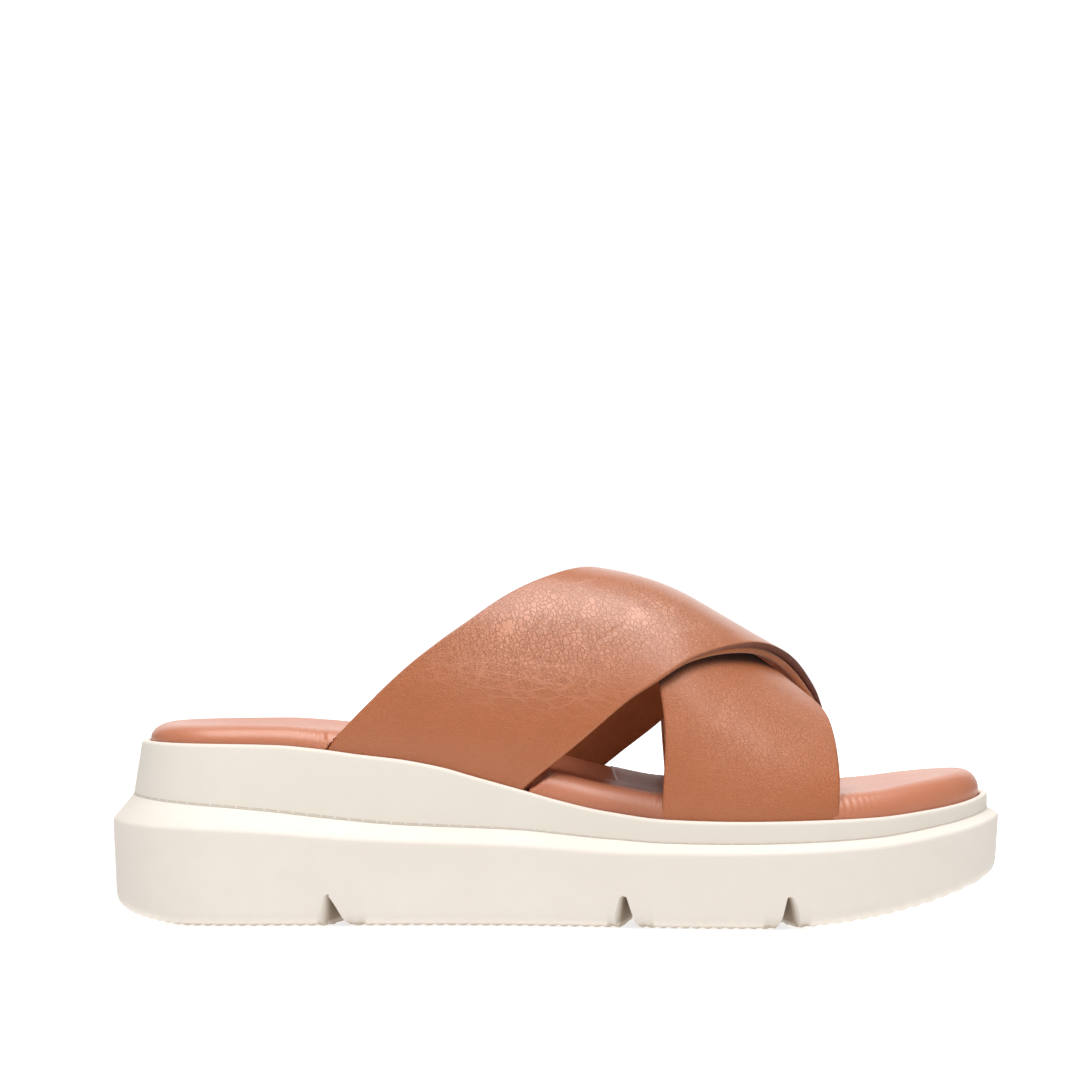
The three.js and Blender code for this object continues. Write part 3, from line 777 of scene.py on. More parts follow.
def start_material(name: str) -> tuple[Material, NodeTree, bpy.types.Node]:
    """Makes a material whose shader is set up by the caller.

    Args:
        name: The material's name.

    Returns:
        The material, its tree and its Principled shader.
    """
    material = bpy.data.materials.new(name)
    material.use_nodes = True
    return material, NodeTree(material.node_tree), material.node_tree.nodes["Principled BSDF"]


@dataclass(frozen=True)
class FoamFinish:
    """Moulded cream foam rubber with a satin skin."""

    name: str
    colour: Colour
    shade: Colour
    line: Colour
    # deep: colour of painted shade, laid on by the shade attribute.
    deep: Colour
    line_height: tuple[float, float] = (0.0, 0.0)
    dash_pitch: float = 0.0
    low_edge: float = 0.0
    roughness: float = 0.75
    coat: float = 0.03
    cloud_size: float = 30.0
    cloud_share: float = 0.35
    line_share: float = 0.4
    low_edge_share: float = 0.8
    grain_scale: float = 1400.0
    grain_depth: float = 0.0002

    def material(self, effects: Effects) -> Material:
        """Builds the finish.

        A moulded line of dashes lies between two heights of the second surface coordinate where the
        dash pitch isn't 0, and the sole's edge darkens below the low edge.

        Args:
            effects: Shared node groups.

        Returns:
            The material.
        """
        material, tree, shader = start_material(self.name)
        place = tree.position()
        tone = tree.group(effects.mottle, {"Place": place, "Size": self.cloud_size}).outputs["Tone"]
        colour = tree.blend(tree.math("MULTIPLY", tone, self.cloud_share), self.colour, self.shade)
        if self.dash_pitch > 0:
            mark = tree.math("MULTIPLY", self.dashes(tree), self.line_share)
            colour = tree.blend(mark, colour, self.line)
        if self.low_edge > 0:
            level = tree.node("ShaderNodeSeparateXYZ", {0: place}).outputs[2]
            near_ground = tree.span(level, 0.0, self.low_edge, self.low_edge_share, 0.0)
            colour = tree.blend(near_ground, colour, self.line)
        # Painted shade: the shade attribute darkens the colour towards the deep colour inside the grooves.
        colour = tree.blend(tree.attribute("shade"), colour, self.deep)
        tree.link(colour, shader, "Base Color")
        grain = tree.noise(place, self.grain_scale, 3.0, 0.6).outputs[0]
        tree.link(tree.relief(grain, 0.12, self.grain_depth), shader, "Normal")
        rough = tree.span(tone, 0.0, 1.0, self.roughness - 0.05, self.roughness + 0.06)
        tree.link(rough, shader, "Roughness")
        shader.inputs["Coat Weight"].default_value = self.coat
        shader.inputs["Coat Roughness"].default_value = 0.4
        return material

    def dashes(self, tree: NodeTree) -> Socket:
        """The moulded line: a soft band in height times soft dashes along the outline."""
        soft = 0.00012
        arc, height = tree.surface()
        low, high = self.line_height
        above, below = tree.span(height, low, low + soft), tree.span(height, high, high + soft, 1.0, 0.0)
        turn = tree.math("FRACT", tree.math("DIVIDE", arc, self.dash_pitch))
        start, end = tree.span(turn, 0.04, 0.12), tree.span(turn, 0.92, 0.99, 1.0, 0.0)
        return tree.math("MULTIPLY", tree.math("MULTIPLY", above, below), tree.math("MULTIPLY", start, end))


@dataclass(frozen=True)
class LeatherFinish:
    """Grained leather with a painted cut edge."""

    name: str
    colour: Colour
    light: Colour
    deep: Colour
    edge: Colour
    shadow: Colour
    # Colour of the painted sheen on creased leather and of the painted highlights on the wrinkles.
    painted_sheen: Colour
    roughness: float = 0.38
    coat: float = 0.8
    cells: float = 1500.0
    grain_depth: float = 0.00025
    net_cells: float = 760.0
    net_stretch: Triple = (1.0, 1.0, 1.5)
    net_turn: Triple = (0.0, -0.47, 0.0)
    wrinkle_cells: float = 400.0
    wrinkle_stretch: Triple = (3.2, 1.5, 1.0)
    wrinkle_turn: Triple = (0.0, 0.2, 0.0)
    cloud_size: float = 28.0
    cloud_share: float = 0.5
    valley_share: float = 0.2
    painted_sheen_share: float = 0.6
    net_share: float = 0.55
    wrinkle_share: float = 0.2
    wrinkle_depth: float = 0.45
    grain_share: float = 0.45

    def material(self, effects: Effects) -> Material:
        """Builds the finish.

        A net of dark creases lies over leather paled by a painted sheen, and a net of long wrinkles
        beside it whose lighter lines are painted highlights.

        Args:
            effects: Shared node groups.

        Returns:
            The material, which reads the piece's edge, crease, wrinkle and shade attributes.
        """
        material, tree, shader = start_material(self.name)
        place = tree.position()
        tone = tree.group(effects.mottle, {"Place": place, "Size": self.cloud_size}).outputs["Tone"]
        pebble = tree.group(effects.pebble, {"Place": place, "Cells": self.cells, "Waver": 0.8})
        crease = tree.attribute("crease")
        edge = tree.attribute("edge")
        colour = tree.blend(tree.math("MULTIPLY", tone, self.cloud_share), self.colour, self.light)
        valley = tree.math("MULTIPLY", pebble.outputs["Valley"], self.valley_share)
        colour = tree.blend(valley, colour, self.deep)
        colour = tree.blend(tree.span(edge, 0.15, 0.75), colour, self.edge)
        net_place = tree.position(self.net_stretch, self.net_turn)
        web = tree.group(effects.web, {"Place": net_place, "Cells": self.net_cells}).outputs["Line"]
        long_place = tree.position(self.wrinkle_stretch, self.wrinkle_turn)
        long = tree.group(effects.web, {"Place": long_place, "Cells": self.wrinkle_cells}).outputs["Line"]
        web, long = tree.math("MULTIPLY", web, crease), tree.math("MULTIPLY", long, tree.attribute("wrinkle"))
        netting = tree.math("MAXIMUM", web, tree.math("MULTIPLY", long, self.wrinkle_depth))
        # Painted sheen: creased leather is paled towards a sheen colour that stands in for its gloss.
        pale = tree.math("MULTIPLY", tree.math("MULTIPLY", crease, crease), self.painted_sheen_share)
        colour = tree.blend(pale, colour, self.painted_sheen)
        colour = tree.blend(tree.math("MULTIPLY", web, self.net_share), colour, self.deep)
        # The long wrinkles are lightened with the same colour: painted highlights on their ridges.
        colour = tree.blend(tree.math("MULTIPLY", long, self.wrinkle_share), colour, self.painted_sheen)
        # Painted shade: the shade attribute darkens towards the shadow colour on a strap under another one
        # and on the footbed under the straps.
        colour = tree.blend(tree.attribute("shade"), colour, self.shadow)
        tree.link(colour, shader, "Base Color")
        grain = tree.math("MULTIPLY", pebble.outputs["Height"], self.grain_share)
        height = tree.math("SUBTRACT", grain, netting)
        tree.link(tree.relief(height, 0.9, self.grain_depth), shader, "Normal")
        dull = tree.math("MULTIPLY", tree.math("MAXIMUM", edge, tree.attribute("shade")), 0.35)
        rough = tree.span(tone, 0.0, 1.0, self.roughness + 0.05, self.roughness - 0.04)
        tree.link(tree.math("ADD", rough, dull), shader, "Roughness")
        tree.link(tree.span(dull, 0.03, 0.18, self.coat, 0.0), shader, "Coat Weight")
        shader.inputs["Coat Roughness"].default_value = 0.3
        return material


@dataclass(frozen=True)
class SuedeFinish:
    """Brown suede lining with a short nap."""

    name: str
    colour: Colour
    light: Colour
    cloud_size: float = 60.0
    cloud_share: float = 0.6
    nap_scale: float = 2200.0
    nap_depth: float = 0.0003

    def material(self, effects: Effects) -> Material:
        """Builds the finish.

        Args:
            effects: Shared node groups.

        Returns:
            The material.
        """
        material, tree, shader = start_material(self.name)
        place = tree.position()
        tone = tree.group(effects.mottle, {"Place": place, "Size": self.cloud_size}).outputs["Tone"]
        colour = tree.blend(tree.math("MULTIPLY", tone, self.cloud_share), self.colour, self.light)
        tree.link(colour, shader, "Base Color")
        nap = tree.noise(tree.position((1.0, 1.0, 2.5)), self.nap_scale, 4.0).outputs[0]
        tree.link(tree.relief(nap, 0.5, self.nap_depth), shader, "Normal")
        shader.inputs["Roughness"].default_value = 0.9
        shader.inputs["Sheen Weight"].default_value = 0.3
        shader.inputs["Sheen Roughness"].default_value = 0.5
        return material


class Piece(Enum):
    """The visible pieces, with the node that each one stands for and its material slot."""

    OUTSOLE = ("outsole_unit", "outsole", "outsole_foam")
    MIDSOLE = ("midsole_wedge", "midsole", "midsole_foam")
    FOOTBED = ("footbed_cover", "insole", "footbed_leather")
    OVER = ("over_strap_leather", "upper", "strap_leather")
    OVER_LINING = ("over_strap_lining", "upper", "strap_leather")
    UNDER = ("under_strap_leather", "upper", "strap_leather")
    UNDER_LINING = ("under_strap_lining", "upper", "strap_leather")

    @property
    def label(self) -> str:
        """The piece's name."""
        return self.value[0]

    def settle(self, made: Object, material: Material) -> Object:
        """Gives a piece its material and body, and hides the imported part of its node.

        Args:
            made: The piece's object.
            material: Its finish.

        Returns:
            The same object.
        """
        label, node, slot = self.value
        made.data.materials.append(material)
        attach(made, "root")
        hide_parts(node)
        log.info("%s: %d faces", label, len(made.data.polygons))
        return made


@dataclass(frozen=True)
class Groove:
    """A flex groove: its place along the sole, the way it bows and how far its mouth leans to the toe."""

    along: float
    bow: float
    lean: float


@dataclass
class Outsole:
    """The lower tier, with its ledge, rounded bottom edge, tread and flex grooves."""

    form: SoleForm
    wall_taper: float = 1.2
    bottom_radius: float = 4.5
    ledge_radius: float = 0.9
    tread_pitch: float = 3.3
    tread_depth: float = 0.4
    groove_depth: float = 9.5
    groove_mouth: float = 6.8
    groove_waist: float = 3.6
    groove_waist_share: float = 0.42
    groove_crown: float = 1.3
    groove_shade_run: float = 3.5
    groove_bow: float = 6.0
    groove_shoulder: float = 0.6
    groove_turn: float = 3.2
    groove_turn_run: float = 4.0
    grooves: tuple[Groove, ...] = (
        Groove(0.25, 1.0, 0.3),
        Groove(0.571, 1.0, 0.14),
        Groove(0.7495, -1.0, 0.0),
    )
    per_side: int = 560

    def tread(self, x: Array, y: Array) -> Array:
        """Depth of the tread: a wave along the sole that runs slantwise on both sides."""
        wave = np.cos(2 * np.pi * (x + 0.35 * np.abs(y)) / self.tread_pitch)
        return self.tread_depth * (0.5 - 0.5 * wave)

    def underside(self, x: Array, y: Array, across: Array) -> Array:
        """Height of the bottom with its tread, the same at every place across."""
        return self.form.ground(x) + self.tread(x, y)

    def body(self) -> Object:
        """Skins the tier: bottom, rounded edge, near-upright side, ledge and top."""
        ring = self.form.outline(self.per_side)
        x = ring.x
        foot_inset = self.form.tier_inset(x)
        rows = [
            ring.row(self.wall_taper + 2.2 * self.bottom_radius, self.form.ground),
            ring.row(self.wall_taper, self.form.ground),
            ring.row(0.0, self.form.ledge),
            ring.row(foot_inset, self.form.tier),
            ring.row(foot_inset + 2.0, self.form.tier),
        ]
        foot = corner(rows[0], rows[1], rows[2], self.bottom_radius, 10)
        edge = corner(rows[1], rows[2], rows[3], self.ledge_radius, 5)
        levels = [rows[0][None], foot, straight(foot[-1], edge[0], 10), edge, straight(edge[-1], rows[3], 3)]
        profile = np.concatenate(levels + [rows[3][None], rows[4][None]])
        points = np.stack([ring.points(p[:, 0], p[:, 1]) for p in profile])
        fade = smooth_step((5.0 - (points[..., 2] - self.form.ground(points[..., 0]))) / 5.0)
        points[..., 2] += self.tread(points[..., 0], points[..., 1]) * fade
        middle = profile.mean(axis=1)
        height = np.concatenate(([0.0], np.cumsum(np.hypot(*np.diff(middle, axis=0).T))))
        skin, index = ring_skin(ring, points, height)
        cap_skin(skin, index[0], points[0], self.underside, 40, True)
        cap_skin(skin, index[-1], points[-1], lambda px, py, across: self.form.tier(px), 10, False)
        return skin.make(Piece.OUTSOLE.label)

    def channel(self, groove: Groove) -> Object:
        """Makes the channel of one flex groove.

        A tapered section is carried across the sole on a bowed path. Near each side the wall that the
        bow bares turns outwards by a parabola, as a soft moulded corner.

        Args:
            groove: Its place, bow and lean.

        Returns:
            The channel's object, to be cut away.
        """
        start = (groove.along - 0.5) * self.form.length
        outer, _ = self.form.outline(200).sides(np.array(start))
        half = -float(outer) - self.wall_taper / 2
        crown, mouth, waist = self.groove_crown / 2, self.groove_mouth / 2, self.groove_waist / 2
        leaned = self.groove_mouth * groove.lean
        turn = np.linspace(0, np.pi, 9)
        arc = np.stack([crown * np.cos(turn), self.groove_depth - crown + crown * np.sin(turn)], axis=-1)
        waist_up = self.groove_waist_share * self.groove_depth
        centre = leaned * np.array([1.0, 1.0, 0.7, 0.5])
        reach = np.array([mouth, mouth, waist + self.groove_shoulder, waist])
        up = np.array([-1.0, 0.0, waist_up / 2, waist_up])
        right, left = (np.stack([centre + side * reach, up], axis=-1) for side in (1, -1))
        section = np.concatenate([right, arc, left[::-1]])
        across = np.linspace(-half - 4.0, half + 4.0, 121)
        bow = groove.bow
        shift = self.groove_bow * bow * (1 - np.clip(across / half, -1, 1) ** 2)
        depth = np.clip((half - np.abs(across)) / self.groove_turn_run, -0.6, 1.0)
        flare = self.groove_turn * (1 - depth) ** 2
        bared = (section[:, 0] * bow < leaned * bow / 2).astype(float)
        taper = np.clip(1 - section[:, 1] / (self.groove_depth * 1.02), 0, 1) ** 0.5
        px = start + shift[:, None] + section[None, :, 0] - bow * flare[:, None] * (bared * taper)[None, :]
        py = np.broadcast_to(across[:, None], px.shape)
        pz = np.broadcast_to(section[None, :, 1], px.shape)
        skin = Skin()
        index = skin.add_points(np.stack([px, py, pz], axis=-1))
        closed = np.concatenate([index, index[:, :1]], axis=1)
        skin.add_grid(closed, np.zeros(closed.shape), np.zeros(closed.shape))
        return skin.make("groove")

    def build(self, material: Material) -> Object:
        """Cuts the grooves out of the tier and dresses it.

        Args:
            material: The finish.

        Returns:
            The finished piece.
        """
        body = self.body()
        for groove in self.grooves:
            cut_away(body, self.channel(groove))
        body.data.set_sharp_from_angle(angle=math.radians(40))
        # Painted shade inside the grooves, read by the foam finish.
        carry(body, "shade", self.groove_shade(body))
        return Piece.OUTSOLE.settle(body, material)

    def groove_shade(self, body: Object) -> Array:
        """Painted shade inside the grooves, growing with the way in from the sole's side.

        Args:
            body: The tier with its grooves.

        Returns:
            A share for each vertex.
        """
        flat = np.empty(len(body.data.vertices) * 3)
        body.data.vertices.foreach_get("co", flat)
        x, y, z = (flat.reshape(-1, 3) / METRES_PER_MM).T
        outer, inner = self.form.outline(200).sides(x)
        inward = np.where(y < 0, -outer, inner) - np.abs(y)
        in_height = (z < self.groove_depth + 0.2) & (z > 0.7)
        half = self.form.ball_width / 2
        shade = np.zeros_like(x)
        for groove in self.grooves:
            start = (groove.along - 0.5) * self.form.length + self.groove_mouth * groove.lean / 2
            shift = self.groove_bow * groove.bow * (1 - np.clip(y / half, -1, 1) ** 2)
            inside = (np.abs(x - start - shift) < self.groove_mouth) & in_height
            shade = np.maximum(shade, inside * smooth_step((inward - 0.6) / self.groove_shade_run))
        return shade * 0.8


def cut_away(body: Object, tool: Object) -> None:
    """Cuts one mesh out of another and deletes the tool.

    Args:
        body: The mesh that is cut.
        tool: The mesh that is taken away; its open ends are filled first.
    """
    work = bmesh.new()
    work.from_mesh(tool.data)
    bmesh.ops.holes_fill(work, edges=[e for e in work.edges if e.is_boundary])
    bmesh.ops.recalc_face_normals(work, faces=work.faces)
    work.to_mesh(tool.data)
    work.free()
    cutter = body.modifiers.new("cut", "BOOLEAN")
    cutter.operation = "DIFFERENCE"
    cutter.solver = "EXACT"
    cutter.object = tool
    bpy.context.view_layer.update()
    graph = bpy.context.evaluated_depsgraph_get()
    result = bpy.data.meshes.new_from_object(body.evaluated_get(graph))
    body.modifiers.clear()
    old = body.data
    body.data = result
    bpy.data.meshes.remove(old)
    bpy.data.objects.remove(tool)


@dataclass
class Midsole:
    """The upper tier: a wedge wall with a narrow rounded rim round the footbed's recess."""

    form: SoleForm
    rim_radius: float = 1.2
    foot_radius: float = 0.25
    seat_gap: float = 0.04
    per_side: int = 420

    def build(self, material: Material) -> Object:
        """Skins the tier from its foot over the rim into the recess.

        Args:
            material: The finish.

        Returns:
            The finished piece.
        """
        ring = self.form.outline(self.per_side)
        x = ring.x
        recess = self.form.recess_inset(x)
        rows = [
            ring.row(self.form.tier_inset(x) + 3.0, self.form.tier, self.seat_gap),
            ring.row(self.form.tier_inset(x), self.form.tier, self.seat_gap),
            ring.row(self.form.rim_inset(x), self.form.rim),
            ring.row(recess, self.form.rim),
            ring.row(recess, self.form.rim, -self.form.recess_depth),
        ]
        low = corner(rows[0], rows[1], rows[2], self.foot_radius, 4)
        high = corner(rows[1], rows[2], rows[3], self.rim_radius, 8)
        inner = corner(rows[2], rows[3], rows[4], 0.5, 4)
        levels = [rows[0][None], low, straight(low[-1], high[0], 14), high, inner, rows[4][None]]
        profile = np.concatenate(levels)
        points = np.stack([ring.points(p[:, 0], p[:, 1]) for p in profile])
        steps = np.hypot(*np.diff(profile.mean(axis=1), axis=0).T)
        height = np.concatenate(([0.0], np.cumsum(steps))) - float(steps[:4].sum())
        skin, index = ring_skin(ring, points, height)
        sunk = self.form.recess_depth
        cap_skin(
            skin, index[0], points[0], lambda px, py, across: self.form.tier(px) + self.seat_gap, 8, True
        )
        cap_skin(skin, index[-1], points[-1], lambda px, py, across: self.form.rim(px) - sunk, 8, False)
        made = skin.make(Piece.MIDSOLE.label, 50.0)
        carry(made, "shade", 0.0)
        return Piece.MIDSOLE.settle(made, material)


@dataclass(frozen=True)
class FootForm:
    """The surface of the foot that the straps lie on."""

    sole: SoleForm
    thickness: float = 3.0
    instep: float = 64.5
    roundness: float = 2.3
    ridge_drift: float = 11.0
    climb: float = 34.0
    bond: float = 0.7
    front_lift: float = 3.8
    lift_sharpness: float = 1.7
    height_ease: float = 0.034
    ridge_ease: float = 0.02
    lift_ease: float = 0.04
    edge_ease: float = 0.03
    edge_eased_from: float = 0.15
    edge_eased_to: float = 0.98
    edge_eased_run: float = 0.2

    def sides(self, x: Array) -> tuple[Array, Array]:
        """Outer and inner side of the foot at places along it."""
        ring = self.sole.outline(400)
        return ring.sides(x, self.sole.recess_inset(ring.x) + CLEARANCE + self.thickness)

    def points(self, x: Array, turn: Array) -> Array:
        """Points on the foot.

        Each section across is a superellipse from the outer to the inner rim, whose top drifts to the
        inner side.

        Args:
            x: Place along the foot.
            turn: Place over it, 0 at the outer rim and 1 at the inner rim.

        Returns:
            The points.
        """
        angle = np.pi * np.clip(turn, 0, 1)
        power = 2 / self.roundness
        across, up = -np.cos(angle), np.maximum(np.sin(angle), 0)
        outer, inner = self.sides(x)
        middle, half = (outer + inner) / 2, (inner - outer) / 2
        share = x / self.sole.length + 0.5
        ridge = Curve(INSTEP["along"], INSTEP["ridge"]).eased(share, self.ridge_ease)
        height = Curve(INSTEP["along"], INSTEP["height"]).eased(share, self.height_ease)
        y = middle + half * np.sign(across) * np.abs(across) ** power + self.ridge_drift * ridge * up * up
        z = self.sole.rim(x) + self.instep * height * up**power
        return np.stack([x, y, z], axis=-1)

    def normals(self, x: Array, turn: Array) -> Array:
        """Outward normals, by small steps along and over the foot."""
        nudge = 1e-3
        held = np.clip(turn, nudge, 1 - nudge)
        along = self.points(x + nudge, held) - self.points(x - nudge, held)
        over = self.points(x, held + nudge) - self.points(x, held - nudge)
        normal = np.cross(along, over)
        return normal / np.linalg.norm(normal, axis=-1, keepdims=True)

    def edge(self, table: Table, side: str, turn: Array) -> Array:
        """Place of a strap's rear or front edge, softened over the top and exact at the ends."""
        curve = Curve(table["round"], table[side])
        high = smooth_step((turn - self.edge_eased_from) / self.edge_eased_run)
        high = high * smooth_step((self.edge_eased_to - turn) / self.edge_eased_run)
        share = curve(turn) * (1 - high) + curve.eased(turn, self.edge_ease) * high
        return (share - 0.5) * self.sole.length

    def lift(self, turn: Array) -> Array:
        """Share of the front edge's lift at places over the foot."""
        return Curve(LIFT["round"], LIFT["lift"]).eased(turn, self.lift_ease)

    def over_stand(self, x: Array, turn: Array, across: Array) -> Array:
        """How far the over strap stands off: it climbs the under strap and its front edge lifts."""
        behind = x - self.edge(UNDER_STRAP, "rear", turn)
        ahead = self.edge(UNDER_STRAP, "front", turn) - x
        cover = smooth_step((np.minimum(behind, ahead) + self.climb) / self.climb)
        lift = self.front_lift * self.lift(turn) * np.clip(across, 0, 1) ** self.lift_sharpness
        return (self.thickness - self.bond) * cover + lift


@dataclass(frozen=True)
class Patch:
    """A soft-edged patch on a strap where its leather is creased, with its strength in and around it."""

    turn: float
    across: float
    turn_run: float
    across_run: float
    middle: float
    around: float

    def strength(self, turn: Array, across: Array) -> Array:
        """Fades from the patch's middle to what lies around it, by a bell curve both ways."""
        away = ((turn - self.turn) / self.turn_run) ** 2 + ((across - self.across) / self.across_run) ** 2
        return self.around + (self.middle - self.around) * np.exp(-(away**2))


@dataclass
class Strap:
    """One band of the upper: a leather layer with folded edges over a suede lining."""

    foot: FootForm
    table: Table
    stands_off: bool
    leather_piece: Piece
    lining_piece: Piece
    lining: float = 1.2
    gap: float = 0.2
    lining_inset: float = 0.35
    hem: float = 0.3
    lining_hem: float = 0.0
    hem_run: float = 0.16
    paint: tuple[float, float] = (0.35, 0.35)
    shade_reach: float = 4.5
    unrolled: tuple[float, float] = (150.0, 60.0)
    folds: tuple[Fold, ...] = ()
    net: Patch = Patch(0.2, 0.5, 0.14, 0.55, 0.6, 0.25)
    wrinkles: Patch = Patch(0.1, 0.5, 0.1, 0.5, 0.2, 0.05)
    around: int = 300
    across: int = 120

    def stations(self) -> tuple[Array, Array]:
        """Places over the foot and the drop into the recess at both ends."""
        tuck = self.foot.sole.recess_depth - CLEARANCE
        turn = np.concatenate(([0.0, 0.0], np.linspace(0, 1, self.around + 1), [1.0, 1.0]))
        drop = np.concatenate(([tuck, tuck / 2], np.zeros(self.around + 1), [tuck / 2, tuck]))
        return turn, drop

    def layer(
        self, low: float, high: float, inset: float, columns: int, name: str, thick_hem: bool
    ) -> Object:
        """Sweeps a flat section with round edges over the foot.

        The section is a loop: the upper face, a half circle at the front edge, the lower face and a
        half circle at the rear edge. Each point goes along the foot's normal by its stand-off.

        Args:
            low: Stand-off of the lower face.
            high: Stand-off of the upper face.
            inset: How far the edges stay inside the strap's own edges.
            columns: Points across each face.
            name: The object's name.
            thick_hem: Whether the front hem is folded double; otherwise the layer dips under it.

        Returns:
            The layer's object, with its crease and edge attributes.
        """
        turn, drop = self.stations()
        raised = np.clip(self.foot.lift(turn), 0.0, 1.0)[:, None]
        raised = raised if self.stands_off else np.ones_like(raised)
        extra = raised * (self.hem if thick_hem else self.lining_hem)
        radius = (high - low + extra) / 2
        bow = np.linspace(np.pi / 2, -np.pi / 2, 9)[1:-1]
        even = np.linspace(0, 1, columns)
        share = (1 - np.cos(np.pi * even)) / 2 * 0.35 + even * 0.65
        face = np.stack([share, np.zeros(columns), np.ones(columns)], axis=-1)
        front = np.stack([np.ones(7), np.cos(bow), np.sin(bow)], axis=-1)
        loop = np.concatenate([face, front, face[::-1] * [1, 1, -1], front[::-1] * [0, -1, 1]])
        rear_x = self.foot.edge(self.table, "rear", turn)[:, None] + inset + radius
        front_x = self.foot.edge(self.table, "front", turn)[:, None] - inset - radius
        x = rear_x + (front_x - rear_x) * loop[None, :, 0] + radius * loop[None, :, 1]
        grid_turn = np.broadcast_to(turn[:, None], x.shape)
        rear_edge, front_edge = rear_x - inset - radius, front_x + inset + radius
        across = (x - rear_edge) / (front_edge - rear_edge)
        margin = smooth_step((across - 1 + self.hem_run) / self.hem_run)
        half = (high - low + extra * margin) / 2
        dip = 0.0 if thick_hem else self.hem * raised * margin
        stand = high - dip - half + half * loop[None, :, 2]
        if self.stands_off:
            stand = stand + self.foot.over_stand(x, grid_turn, across)
        crease = self.creases(grid_turn, across) * (loop[None, :, 2] > 0.5)
        points = self.foot.points(x, grid_turn)
        points += self.foot.normals(x, grid_turn) * (stand + crease)[..., None]
        points[..., 2] -= drop[:, None]
        skin = Skin()
        index = skin.add_points(points)
        closed = np.concatenate([index, index[:, :1]], axis=1)
        steps = np.linalg.norm(np.diff(points[:, columns // 2], axis=0), axis=-1)
        length = np.concatenate(([0.0], np.cumsum(steps)))
        u = np.broadcast_to(length[:, None], closed.shape)
        v = np.concatenate([across, across[:, :1]], axis=1) * float(np.mean(front_edge - rear_edge))
        skin.add_grid(closed, u, v)
        for row, flip in ((0, True), (-1, False)):
            self._end(skin, index[row], flip)
        made = skin.make(name, 60.0)
        self.mark(made, x, grid_turn, across, loop)
        return made

    def mark(self, made: Object, x: Array, turn: Array, across: Array, loop: Array) -> None:
        """Gives a layer the values that its finish reads.

        The paint lies on the rounded edges and the lower face, and thins towards the outer rim on the
        front edge. The strap below gets painted shade under the upper one, fading past its edges. The
        crease strength also sets a painted sheen, and the wrinkle strength painted highlights.

        Args:
            made: The layer.
            x: Place of each point along the foot.
            turn: Its place over the foot.
            across: Its place across the strap.
            loop: The section's points, as place across, way out and side.
        """
        at_front = loop[:, 0] > 0.5
        paint = np.where(at_front, self.paint[1], self.paint[0])
        edge = np.clip(np.abs(loop[:, 1]) * 1.3 + (loop[:, 2] < -0.5), 0, 1) * paint
        shown = 1 - (1 - smooth_step((turn - 0.2) / 0.12)) * at_front * 0.75
        # Painted shade on the strap below, where the upper strap covers it, fading past its edges.
        past = x - self.foot.edge(OVER_STRAP, "front", turn)
        short = self.foot.edge(OVER_STRAP, "rear", turn) - x
        painted_shade = 1 - smooth_step(np.maximum(past, short * 2) / self.shade_reach)
        carry(made, "edge", edge * shown)
        carry(made, "crease", self.net.strength(turn, across))
        carry(made, "wrinkle", self.wrinkles.strength(turn, across))
        carry(made, "shade", 0.0 if self.stands_off else 0.9 * painted_shade)

    @staticmethod
    def _end(skin: Skin, loop: Array, flip: bool) -> None:
        """Closes an end of the band by quads between its two faces."""
        half = len(loop) // 2
        upper, lower = loop[: half + 1], np.concatenate([loop[half:], loop[:1]])[::-1]
        size = min(len(upper), len(lower))
        index = np.stack([upper[:size], lower[:size]])
        flat = np.zeros(index.shape)
        skin.add_grid(index, flat, flat, flip=flip)

    def creases(self, turn: Array, across: Array) -> Array:
        """Depth of the listed creases, each a soft trough with a low ridge beside it."""
        depth = np.zeros(turn.shape)
        run = np.array(self.unrolled)
        for fold in self.folds:
            a, b = np.array(fold.start) * run, np.array(fold.end) * run
            place = np.stack([turn * run[0], across * run[1]], axis=-1)
            share = np.clip(((place - a) @ (b - a)) / ((b - a) @ (b - a)), 0, 1)
            near = np.linalg.norm(place - a - share[..., None] * (b - a), axis=-1) / fold.width
            fade = np.sin(np.pi * np.clip(share, 0.0, 1.0)) ** 0.6
            depth += fold.depth * fade * (0.45 * np.exp(-((near - 1.6) ** 2)) - np.exp(-(near**2)))
        return depth

    def build(self, leather: Material, suede: Material) -> list[Object]:
        """Builds both layers and dresses them.

        Args:
            leather: Finish of the upper layer.
            suede: Finish of the lining.

        Returns:
            The leather and the lining.
        """
        top, under = self.leather_piece, self.lining_piece
        upper = self.layer(self.lining + self.gap, self.foot.thickness, 0.0, self.across, top.label, True)
        lower = self.layer(0.0, self.lining, self.lining_inset, self.across // 2, under.label, False)
        return [top.settle(upper, leather), under.settle(lower, suede)]


